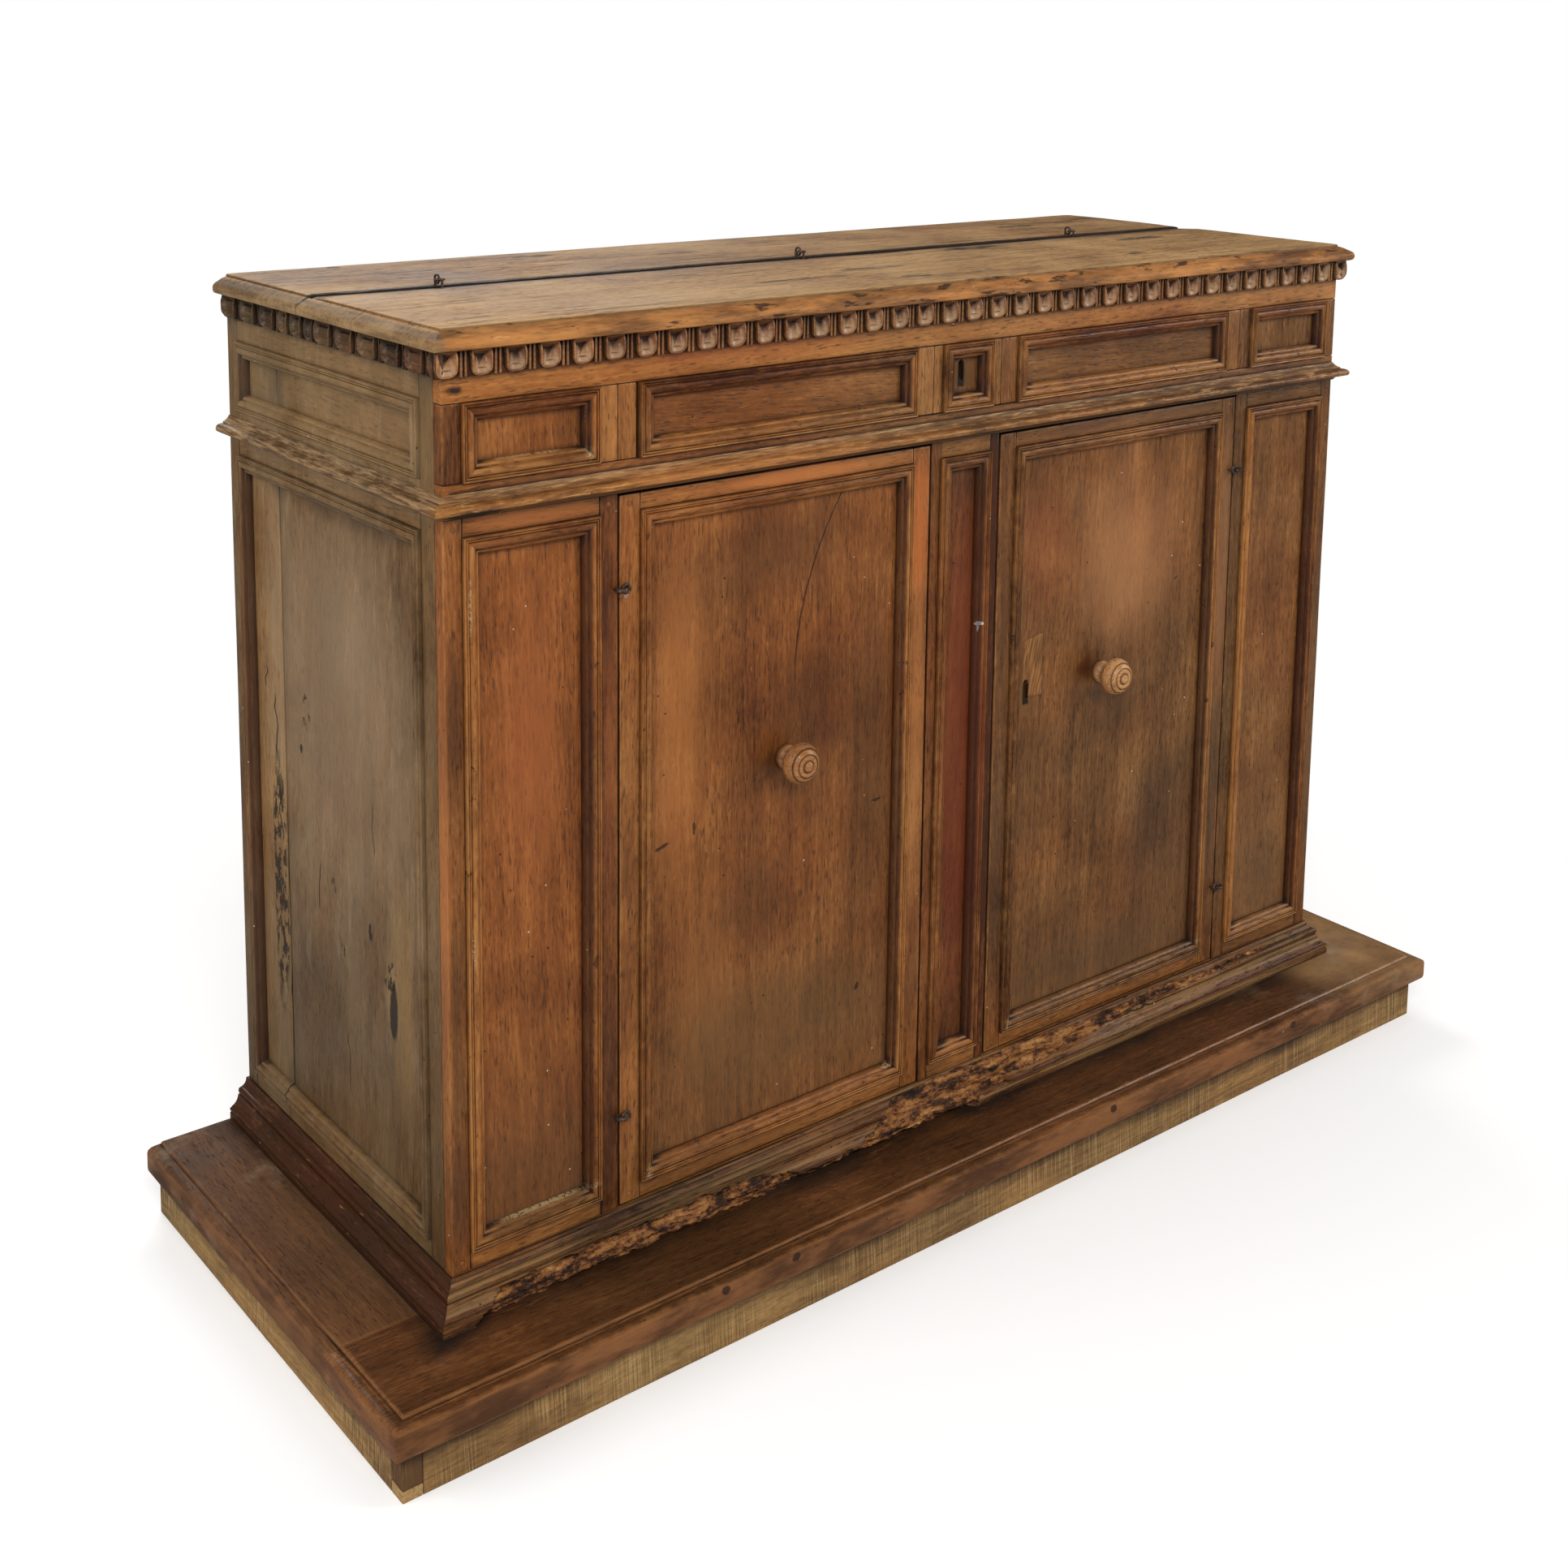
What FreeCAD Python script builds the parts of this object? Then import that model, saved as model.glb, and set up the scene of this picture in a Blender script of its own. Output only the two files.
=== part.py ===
import FreeCAD, Part
import math
import os
import re
import Sketcher

# An old walnut credenza on a low pine platform. Millimetres, +Z up, the front faces -Y.
# The origin is on the floor, under the middle of the platform.
# The lid lifts on the front two thirds of the top, and two doors close the cupboard.
# "From the front" means behind the plane of the carcase's front face.

SIZES = [
    # The one overrun for every cut
    ("overrun", 2),
    # Carcase
    ("carcase_width", 1490),
    ("carcase_depth", 540),
    ("carcase_height", 1082),
    ("front_thickness", 18),
    ("side_thickness", 22),
    ("back_thickness", 14),
    ("back_count", 5),
    ("board_gap", 1),
    # Platform
    ("platform_overhang", 138),
    ("platform_reach", 128),
    ("riser_height", 59),
    ("riser_thickness", 24),
    ("riser_setback", 15),
    ("riser_lap_height", 14),
    ("deck_thickness", 36),
    ("deck_left_reach", 12),
    ("deck_right_reach", 52),
    ("deck_side_reach", 60),
    ("deck_rear_width", 110),
    ("joist_thickness", 45),
    ("joist_distance", 240),
    # Platform nosing, from the nose inwards and from the underside up
    ("nosing_undercut_depth", 5),
    ("nosing_foot_height", 10),
    ("nosing_face_height", 27),
    ("nosing_inset_width", 18),
    ("nosing_step_width", 2),
    ("nosing_drop_depth", 2.5),
    ("nosing_share", 0.2),
    # Heights of the plinth, and of the rails and the frieze above it
    ("plinth_height", 50),
    ("foot_rail_height", 21),
    ("head_rail_height", 22),
    ("side_head_rail_height", 20),
    ("waist_rail_height", 36.5),
    ("frieze_height", 85.5),
    ("top_rail_height", 57),
    # Widths of the front's uprights and openings, from the corner to the middle
    ("corner_stile_width", 23),
    ("narrow_opening_width", 171),
    ("inner_stile_width", 24),
    ("muntin_width", 28.5),
    ("near_muntin_width", 29),
    ("post_half_width", 58),
    ("square_half_width", 43),
    # Sides
    ("side_front_stile_width", 30),
    ("side_rear_stile_width", 28),
    ("side_seam_distance", 415),
    # Panels
    ("panel_recess_depth", 7),
    ("panel_thickness", 8),
    ("groove_depth", 6),
    ("panel_gap", 0.5),
    # Panel moulding, inwards from its outer edge and up from the panel
    ("moulding_width", 21),
    ("moulding_edge_height", 12.5),
    ("moulding_fillet_width", 3),
    ("moulding_hollow_width", 9),
    ("moulding_hollow_height", 9.5),
    ("moulding_hollow_share", 0.22),
    ("moulding_bead_outer_reach", 11),
    ("moulding_bead_inner_reach", 19),
    ("moulding_bead_height", 7),
    ("moulding_bead_share", 0.53),
    ("moulding_lip_height", 3),
    # Plinth moulding, outwards and up
    ("plinth_reach", 27),
    ("plinth_fillet_height", 15),
    ("plinth_step_width", 2),
    ("plinth_hollow_height", 30),
    ("plinth_hollow_reach", 14),
    ("plinth_hollow_share", 0.27),
    ("plinth_bead_height", 40),
    ("plinth_bead_share", 0.8),
    ("plinth_neck_reach", 9),
    ("plinth_lip_reach", 3),
    ("plinth_neck_share", 0.26),
    # Waist moulding, outwards and up
    ("waist_height", 26),
    ("waist_reach", 18),
    ("waist_foot_reach", 2),
    ("waist_nose_foot_height", 8),
    ("waist_under_share", 0.22),
    ("waist_nose_height", 16.5),
    ("waist_nose_inset", 6),
    ("waist_nose_share", 0.42),
    ("waist_step_reach", 8.5),
    ("waist_step_height", 19),
    ("waist_hollow_reach", 6.5),
    ("waist_hollow_share", 0.29),
    # Top boards
    ("top_thickness", 23.5),
    ("top_reach", 17),
    ("seam_distance", 305),
    ("seam_gap", 2),
    ("top_lip_inset", 4),
    ("top_lip_height", 4),
    ("top_nose_height", 9),
    ("top_quirk_inset", 17),
    ("top_quirk_step_width", 2),
    ("top_quirk_drop_depth", 3),
    ("top_ovolo_share", 0.31),
    # Carved strip under the top
    ("strip_height", 29),
    ("strip_reach", 10.5),
    ("strip_clearance", 0.5),
    ("strip_top_reach", 8),
    ("strip_swell_foot_height", 8),
    ("strip_swell_height", 22),
    ("strip_foot_reach", 5.5),
    # Inside
    ("inner_board_thickness", 18),
    ("bottom_height", 57),
    ("shelf_height", 465),
    ("shelf_setback_depth", 60),
    ("well_rise", 2),
    ("cleat_width", 30),
    ("cleat_depth", 430),
    # Doors
    ("door_thickness", 22),
    ("door_hinge_gap", 2),
    ("door_free_gap", 3),
    ("door_foot_gap", 3),
    ("door_head_gap", 3),
    ("door_stile_width", 28),
    ("door_foot_rail_height", 20),
    ("door_head_rail_height", 20),
    ("door_panel_thickness", 9),
    ("door_rest_gap", 0.3),
    # Knobs, out from the panel
    ("knob_rise", 544),
    ("left_knob_distance", 282),
    ("right_knob_distance", 268),
    ("knob_base_radius", 16),
    ("knob_base_length", 9),
    ("knob_neck_radius", 9.5),
    ("knob_neck_length", 15),
    ("knob_head_radius", 25),
    ("knob_head_length", 33),
    ("knob_head_share", 0.45),
    ("knob_face_radius", 18),
    ("knob_face_length", 46),
    ("knob_ring_radius", 14),
    ("knob_dish_length", 43),
    ("knob_button_radius", 5.5),
    ("knob_length", 50),
    # Wire eyes of the snipe hinges
    ("eye_radius", 5),
    ("eye_wire_radius", 1.2),
    ("spike_wire_radius", 0.9),
    ("eye_offset", 2),
    ("eye_spike_length", 14),
    ("door_eye_head_distance", 105),
    ("door_eye_foot_distance", 114),
    ("door_axis_reach", 7),
    ("lid_axis_rise", 6.5),
    ("lid_left_eye_distance", 580),
    ("lid_middle_eye_distance", 30),
    ("lid_right_eye_distance", 493),
    ("lid_spike_length", 18),
    # Door lock
    ("door_lock_rise", 541),
    ("door_key_distance", 129),
    ("key_hole_radius", 5),
    ("key_slot_width", 6),
    ("key_hole_height", 28),
    ("lock_height", 84),
    ("lock_thickness", 17),
    ("lock_inset", 3),
    ("lock_width", 92),
    ("bolt_thickness", 6),
    ("bolt_height", 9),
    ("bolt_length", 56),
    ("bolt_gap", 0.2),
    ("bolt_cover_depth", 4),
    ("bolt_rise", 12),
    # Lid lock
    ("lid_key_drop", 91),
    ("lid_key_offset", -6),
    ("lid_lock_half_width", 46),
    ("lid_lock_drop", 12),
    ("lid_lock_height", 97),
    ("lid_lock_thickness", 20),
    ("lid_bolt_drop", 24.5),
    ("lid_bolt_height", 8),
    ("lid_bolt_cover_depth", 9),
    ("lid_bolt_length", 60),
    ("lid_bolt_inset", 2),
    ("staple_distance", 58),
    ("staple_wire_radius", 1.2),
    ("staple_near_depth", 6.2),
    ("staple_span_width", 11.6),
    ("staple_drop", 27),
    # Turn button on the left door
    ("button_rise", 548),
    ("button_inset", 15),
    ("button_half_length", 35),
    ("button_width", 17),
    ("button_thickness", 11),
    ("button_gap", 0.3),
    ("pin_radius", 2),
    ("pin_gap", 0.08),
    ("pin_head_radius", 4.5),
    ("pin_head_thickness", 2),
    ("pin_depth", 16),
]

PLACES = [
    ("half", "carcase_width / 2"),
    ("overall_depth", "carcase_depth + platform_reach"),
    ("front", "platform_reach - overall_depth / 2"),
    ("rear", "front + carcase_depth"),
    ("inside", "half - side_thickness"),
    ("behind", "front + front_thickness"),
    ("back_face", "rear - back_thickness"),
    ("stand", "riser_height + deck_thickness"),
    ("plinth_top", "stand + plinth_height"),
    ("rim", "stand + carcase_height"),
    ("top_level", "rim + top_thickness"),
    ("frieze_top", "rim - top_rail_height"),
    ("frieze_bottom", "frieze_top - frieze_height"),
    ("waist_bottom", "frieze_bottom - waist_rail_height"),
    ("low_edge", "plinth_top + foot_rail_height"),
    ("high_edge", "waist_bottom - head_rail_height"),
    ("side_high_edge", "waist_bottom - side_head_rail_height"),
    ("corner_edge", "half - corner_stile_width"),
    ("narrow_edge", "corner_edge - narrow_opening_width"),
    ("door_side", "narrow_edge - inner_stile_width"),
    ("wide_edge", "door_side - muntin_width"),
    ("near_edge", "post_half_width + near_muntin_width"),
    ("side_opening_front", "behind + side_front_stile_width"),
    ("side_opening_rear", "rear - side_rear_stile_width"),
    ("nose_half", "half + platform_overhang"),
    ("nose_front", "front - platform_reach"),
    ("riser_half", "nose_half - riser_setback"),
    ("riser_front", "nose_front + riser_setback"),
    ("seam_front", "front + seam_distance - seam_gap / 2"),
    ("seam_rear", "front + seam_distance + seam_gap / 2"),
    ("mitre_reach", "plinth_reach + waist_reach"),
    ("door_far", "door_side - door_hinge_gap"),
    ("door_near", "post_half_width + door_free_gap"),
    ("door_low", "plinth_top + door_foot_gap"),
    ("door_high", "waist_bottom - door_head_gap"),
    ("door_back", "front + door_thickness"),
    ("door_axis", "door_side - door_hinge_gap / 2"),
    ("door_axis_front", "front - door_axis_reach"),
    ("lid_axis", "front + seam_distance"),
    ("lid_axis_level", "top_level + lid_axis_rise"),
    ("lock_level", "stand + door_lock_rise"),
    ("lid_lock_back", "behind + lid_lock_thickness"),
    ("lid_bolt_level", "rim - lid_bolt_drop"),
    ("button_middle", "stand + button_rise"),
    ("button_axis", "door_near + button_inset"),
]

doc = FreeCAD.newDocument("credenza")
sheet = doc.addObject("Spreadsheet::Sheet", "sizes")
for row, (alias, number) in enumerate(SIZES, start=1):
    sheet.set(f"A{row}", alias)
    sheet.set(f"B{row}", str(number))
    sheet.setAlias(f"B{row}", alias)
for row, (alias, formula) in enumerate(PLACES, start=len(SIZES) + 1):
    sheet.set(f"A{row}", alias)
    sheet.set(f"B{row}", "=" + formula)
    sheet.setAlias(f"B{row}", alias)
doc.recompute()

X_AXIS = FreeCAD.Vector(1, 0, 0)
Y_AXIS = FreeCAD.Vector(0, 1, 0)
Z_AXIS = FreeCAD.Vector(0, 0, 1)
SIDES = ("left", "right")
nodes = {}


def bound(text):
    """The sheet's own names, as another object has to write them."""
    return re.sub(r"\b(?!sqrt)[a-z_]+", lambda word: "sizes." + word.group(0), text)


def number(text):
    """What an expression in the sheet's names comes to."""
    return float(sheet.evalExpression(text))


def place(piece, across, along, up):
    """Tie a piece's origin to three expressions."""
    for axis, text in zip("xyz", (across, along, up)):
        piece.setExpression(f"Placement.Base.{axis}", bound(text))


def keep(label, piece):
    """Name a finished sub-part after its node."""
    piece.Label = label
    nodes[label] = piece
    return piece


def board(label, across, along, up):
    """A squared board between two places on each axis."""
    piece = doc.addObject("Part::Box", label)
    for side, (low, high) in zip(("Length", "Width", "Height"), (across, along, up)):
        piece.setExpression(side, bound(f"({high}) - ({low})"))
    place(piece, across[0], along[0], up[0])
    return piece


def rod(label, radius, length, direction, across, along, up):
    """A round rod that starts at a place and runs along a direction."""
    piece = doc.addObject("Part::Cylinder", label)
    piece.Placement = FreeCAD.Placement(FreeCAD.Vector(), FreeCAD.Rotation(Z_AXIS, direction))
    piece.setExpression("Radius", bound(radius))
    piece.setExpression("Height", bound(length))
    place(piece, across, along, up)
    return piece


def cut(label, base, tool):
    """Take one shape away from another."""
    piece = doc.addObject("Part::Cut", label)
    piece.Base = base
    piece.Tool = tool
    return piece


def common(label, base, tool):
    """Keep what two shapes share."""
    piece = doc.addObject("Part::Common", label)
    piece.Base = base
    piece.Tool = tool
    return piece


def fuse(label, pieces):
    """Join shapes into one solid."""
    piece = doc.addObject("Part::MultiFuse", label)
    piece.Shapes = pieces
    return piece


def group(label, pieces):
    """Several solids that share one node."""
    piece = doc.addObject("Part::Compound", label)
    piece.Links = pieces
    return piece


def mirrored(side, near, far):
    """A span given by its distances from the middle, on the left or on the right."""
    return (f"-({far})", f"-({near})") if side == "left" else (near, far)


def outline(sketch, points):
    """Draw a closed outline. A point is (x, y), or (x, y, share) for an arc that ends there.

    The share is the arc's rise over half its chord. A positive one bulges to the right of the way
    from the last point, a negative one to the left.
    """
    corners = [FreeCAD.Vector(number(point[0]), number(point[1]), 0) for point in points]
    for index, point in enumerate(points):
        start = corners[index - 1]
        end = corners[index]
        if len(point) == 2:
            edge = sketch.addGeometry(Part.LineSegment(start, end))
            last = 2
        else:
            share = point[2].lstrip("-")
            before = points[index - 1]
            chord = f"sqrt(({point[0]} - ({before[0]}))^2 + ({point[1]} - ({before[1]}))^2)"
            rule = f"{chord} * (1 + {share}^2) / (4 * {share})"
            radius = number(rule)
            last = 1 if point[2].startswith("-") else 2
            low, high = (end, start) if last == 1 else (start, end)
            left = FreeCAD.Vector(low.y - high.y, high.x - low.x, 0)
            centre = (low + high) / 2 + left * math.sqrt((radius / left.Length) ** 2 - 1 / 4)
            angles = [math.atan2(corner.y - centre.y, corner.x - centre.x) for corner in (low, high)]
            edge = sketch.addGeometry(Part.ArcOfCircle(Part.Circle(centre, Z_AXIS, radius), *angles))
            tie = sketch.addConstraint(Sketcher.Constraint("Radius", edge, radius))
            sketch.setExpression(f"Constraints[{tie}]", bound(rule))
        for axis, text, length in (("X", point[0], end.x), ("Y", point[1], end.y)):
            tie = sketch.addConstraint(Sketcher.Constraint("Distance" + axis, -1, 1, edge, last, length))
            sketch.setExpression(f"Constraints[{tie}]", bound(text))
        if index:
            sketch.addConstraint(Sketcher.Constraint("Coincident", previous, previous_last, edge, 3 - last))
        else:
            first, first_start = edge, 3 - last
        previous, previous_last = edge, last
    sketch.addConstraint(Sketcher.Constraint("Coincident", previous, previous_last, first, first_start))


def profile(label, x_way, y_way, at, points):
    """A sketch of a section, standing at a place with its two directions."""
    sketch = doc.addObject("Sketcher::SketchObject", label)
    turn = FreeCAD.Rotation(x_way, y_way, x_way.cross(y_way), "XYZ")
    sketch.Placement = FreeCAD.Placement(FreeCAD.Vector(), turn)
    place(sketch, *at)
    outline(sketch, points)
    return sketch


def path(label, x_way, y_way, at, points):
    """A sketch of an open way through some points."""
    sketch = doc.addObject("Sketcher::SketchObject", label)
    turn = FreeCAD.Rotation(x_way, y_way, x_way.cross(y_way), "XYZ")
    sketch.Placement = FreeCAD.Placement(FreeCAD.Vector(), turn)
    place(sketch, *at)
    corners = [FreeCAD.Vector(number(x), number(y), 0) for x, y in points]
    for index, (start, end) in enumerate(zip(corners, corners[1:])):
        edge = sketch.addGeometry(Part.LineSegment(start, end))
        ends = ((1, index), (2, index + 1)) if index == 0 else ((2, index + 1),)
        for corner, point in ends:
            for axis, text, length in (("X", points[point][0], corners[point].x),
                                       ("Y", points[point][1], corners[point].y)):
                tie = sketch.addConstraint(Sketcher.Constraint("Distance" + axis, -1, 1, edge, corner, length))
                sketch.setExpression(f"Constraints[{tie}]", bound(text))
        if index:
            sketch.addConstraint(Sketcher.Constraint("Coincident", edge - 1, 2, edge, 1))
    return sketch


def sweep(label, section, way, edges):
    """Run a section along a way, with mitred corners."""
    piece = doc.addObject("Part::Sweep", label)
    piece.Sections = [section]
    piece.Spine = (way, [f"Edge{edge}" for edge in range(1, edges + 1)])
    piece.Solid = True
    piece.Frenet = False
    piece.Transition = "Right corner"
    return piece


def run_round(label, reach, front_reach, up, x_way, points):
    """Run a section round the left, the front and the right, along a line outside the carcase.

    The sides of the line are reach outside the carcase, and its front is front_reach before it.
    """
    width = f"carcase_width + 2 * ({reach})"
    depth = f"carcase_depth + {front_reach}"
    corner = (f"-half - ({reach})", f"front - ({front_reach})", up)
    start = (corner[0], "rear", up)
    way = path(label + "_way", X_AXIS, Y_AXIS, corner, [("0", depth), ("0", "0"), (width, "0"), (width, depth)])
    section = profile(label + "_section", x_way, Z_AXIS, start, points)
    return sweep(label, section, way, 3)


def prism(label, points):
    """A block over a plan, as tall as the whole piece. The plan starts outside the front-left corner."""
    plan = profile(label + "_plan", X_AXIS, Y_AXIS, ("-half - mitre_reach", "front - mitre_reach", "0"), points)
    piece = doc.addObject("Part::Extrusion", label)
    piece.Base = plan
    piece.DirMode = "Custom"
    piece.Dir = Z_AXIS
    piece.setExpression("LengthFwd", bound("top_level + overrun"))
    piece.Solid = True
    return piece


# Platform

deck_waste = run_round(
    "deck_waste", "platform_overhang + overrun", "platform_reach + overrun", "riser_height - overrun", X_AXIS,
    [("0", "0"),
     ("overrun + nosing_undercut_depth", "0"),
     ("overrun + nosing_undercut_depth", "overrun"),
     ("overrun", "overrun + nosing_foot_height"),
     ("overrun", "overrun + nosing_face_height"),
     ("overrun + nosing_inset_width - nosing_step_width", "overrun + deck_thickness - nosing_drop_depth", "-nosing_share"),
     ("overrun + nosing_inset_width", "overrun + deck_thickness - nosing_drop_depth"),
     ("overrun + nosing_inset_width", "2 * overrun + deck_thickness"),
     ("0", "2 * overrun + deck_thickness")])


def platform():
    deck = ("riser_height", "stand")
    rise = ("0", "riser_height")
    inner_half = "riser_half - riser_thickness"
    keep("platform_right_riser", board("right_riser", (inner_half, "riser_half"),
                                       ("riser_front + riser_thickness", "rear"), rise))
    front_span = ("riser_front", "riser_front + riser_thickness")
    left_end = ("-riser_half", f"-({inner_half})")
    keep("platform_front_riser", board("front_riser", (f"-({inner_half})", "riser_half"), front_span, rise))
    keep("platform_corner_post", board("corner_post", left_end, front_span, ("riser_lap_height", "riser_height")))
    wall = board("left_riser_wall", left_end, ("riser_front + riser_thickness", "rear"), rise)
    tail = board("left_riser_tail", left_end, front_span, ("0", "riser_lap_height"))
    keep("platform_left_riser", fuse("left_riser", [wall, tail]))
    joists = [board("rear_rail", (f"-({inner_half})", inner_half), ("rear - riser_thickness", "rear"), rise)]
    for side in SIDES:
        span = mirrored(side, "joist_distance", "joist_distance + joist_thickness")
        joists.append(board(side + "_joist", span,
                            ("riser_front + riser_thickness", "rear - riser_thickness"), rise))
    keep("platform_bearers", group("bearers", joists))
    plan = profile("front_deck_plan", X_AXIS, Y_AXIS,
                   ("-nose_half - overrun", "nose_front - overrun", "riser_height"),
                   [("0", "0"),
                    ("2 * (nose_half + overrun)", "0"),
                    ("2 * (nose_half + overrun)", "platform_reach + overrun + deck_right_reach"),
                    ("0", "platform_reach + overrun + deck_left_reach")])
    slab = doc.addObject("Part::Extrusion", "front_deck_slab")
    slab.Base = plan
    slab.DirMode = "Custom"
    slab.Dir = Z_AXIS
    slab.setExpression("LengthFwd", bound("deck_thickness"))
    slab.Solid = True
    keep("platform_front_board", cut("front_deck", slab, deck_waste))
    for side in SIDES:
        span = mirrored(side, "half - deck_side_reach", "nose_half + overrun")
        blank = board(side + "_deck_blank", span, ("front", "rear"), deck)
        trimmed = cut(side + "_deck_trimmed", blank, slab)
        keep(f"platform_{side}_board", cut(side + "_deck", trimmed, deck_waste))
    keep("platform_rear_board", board("rear_deck", ("-half + deck_side_reach", "half - deck_side_reach"),
                                      ("rear - deck_rear_width", "rear"), deck))


platform()

# Mitre sectors that part the runs round the carcase

corner_plan = [("mitre_reach", "mitre_reach"), ("0", "0"),
               ("carcase_width + 2 * mitre_reach", "0"), ("carcase_width + mitre_reach", "mitre_reach")]
front_sector = prism("front_sector", corner_plan)


def side_sector(side, name, start, end):
    """The part of a run beside the carcase, from one place behind the front to another.

    A start of zero takes in the mitre.
    """
    if side == "left":
        near, far = "mitre_reach", "0"
    else:
        near, far = "carcase_width + mitre_reach", "carcase_width + 2 * mitre_reach"
    foot = "0" if start == "0" else f"mitre_reach + {start}"
    return prism(f"{side}_{name}_sector", [(far, foot), (near, f"mitre_reach + {start}"),
                                           (near, f"mitre_reach + {end}"), (far, f"mitre_reach + {end}")])


whole_sectors = {side: side_sector(side, "whole", "0", "carcase_depth") for side in SIDES}
lid_sectors = {side: side_sector(side, "lid", "0", "seam_distance - seam_gap / 2") for side in SIDES}
rear_sectors = {side: side_sector(side, "rear", "seam_distance + seam_gap / 2", "carcase_depth") for side in SIDES}

# Plinth and waist mouldings, three mitred lengths each


def plinth_and_waist():
    plinth = run_round(
        "plinth_run", "0", "0", "stand", -X_AXIS,
        [("0", "0"),
         ("plinth_reach", "0"),
         ("plinth_reach", "plinth_fillet_height"),
         ("plinth_reach - plinth_step_width", "plinth_fillet_height"),
         ("plinth_hollow_reach", "plinth_hollow_height", "-plinth_hollow_share"),
         ("plinth_hollow_reach", "plinth_bead_height", "plinth_bead_share"),
         ("plinth_neck_reach", "plinth_bead_height"),
         ("plinth_lip_reach", "plinth_height", "-plinth_neck_share"),
         ("0", "plinth_height")])
    waist = run_round(
        "waist_run", "0", "0", "waist_bottom", -X_AXIS,
        [("0", "0"),
         ("waist_foot_reach", "0"),
         ("waist_reach", "waist_nose_foot_height", "-waist_under_share"),
         ("waist_reach - waist_nose_inset", "waist_nose_height", "waist_nose_share"),
         ("waist_step_reach", "waist_nose_height"),
         ("waist_step_reach", "waist_step_height"),
         ("waist_hollow_reach", "waist_step_height"),
         ("0", "waist_height", "-waist_hollow_share")])
    for name, moulding in (("plinth", plinth), ("waist", waist)):
        keep(f"{name}_front", common(f"{name}_front_length", moulding, front_sector))
        returns = [common(f"{side}_{name}_return", moulding, whole_sectors[side]) for side in SIDES]
        keep(f"{name}_returns", group(f"{name}_return_pair", returns))


plinth_and_waist()

# Panels sit in grooves, and a mitred moulding stands on each panel inside its opening


def front_panel(label, across, up, thickness):
    """A panel in the front plane or in a door, and the groove that it needs round it."""
    low_x = f"({across[0]}) - groove_depth"
    high_x = f"({across[1]}) + groove_depth"
    face = "front + panel_recess_depth"
    leaf = board(label, (low_x, high_x), (face, f"{face} + {thickness}"),
                 (f"{up[0]} - groove_depth", f"{up[1]} + groove_depth"))
    groove = board(label + "_groove", (f"{low_x} - panel_gap", f"{high_x} + panel_gap"),
                   (face, f"{face} + {thickness} + panel_gap"),
                   (f"{up[0]} - groove_depth", f"{up[1]} + groove_depth + panel_gap"))
    return leaf, groove


def moulding_frame(label, view, span, up):
    """The mitred moulding round an opening of the front, the left side or the right side."""
    width = f"(({span[1]}) - ({span[0]}))"
    rise = f"(({up[1]}) - ({up[0]}))"
    middle = f"(({span[0]}) + ({span[1]})) / 2"
    if view == "front":
        x_way, corner, foot = X_AXIS, (span[0], "front"), (middle, "front + panel_recess_depth")
    elif view == "left":
        x_way, corner, foot = -Y_AXIS, ("-half", span[1]), ("-half + panel_recess_depth", middle)
    else:
        x_way, corner, foot = Y_AXIS, ("half", span[0]), ("half - panel_recess_depth", middle)
    way = path(label + "_way", x_way, Z_AXIS, (*corner, up[0]),
               [(width + " / 2", "0"), (width, "0"), (width, rise), ("0", rise), ("0", "0"),
                (width + " / 2", "0")])
    section = profile(
        label + "_section", Z_AXIS, x_way.cross(Z_AXIS), (*foot, up[0]),
        [("0", "0"),
         ("moulding_width", "0"),
         ("moulding_width", "moulding_lip_height"),
         ("moulding_bead_inner_reach", "moulding_bead_height"),
         ("moulding_bead_outer_reach", "moulding_hollow_height", "moulding_bead_share"),
         ("moulding_hollow_width", "moulding_hollow_height"),
         ("moulding_fillet_width", "moulding_edge_height", "-moulding_hollow_share"),
         ("0", "moulding_edge_height")])
    return sweep(label, section, way, 5)


# Front frame: long rails, uprights between them, and the frieze's five panels


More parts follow.
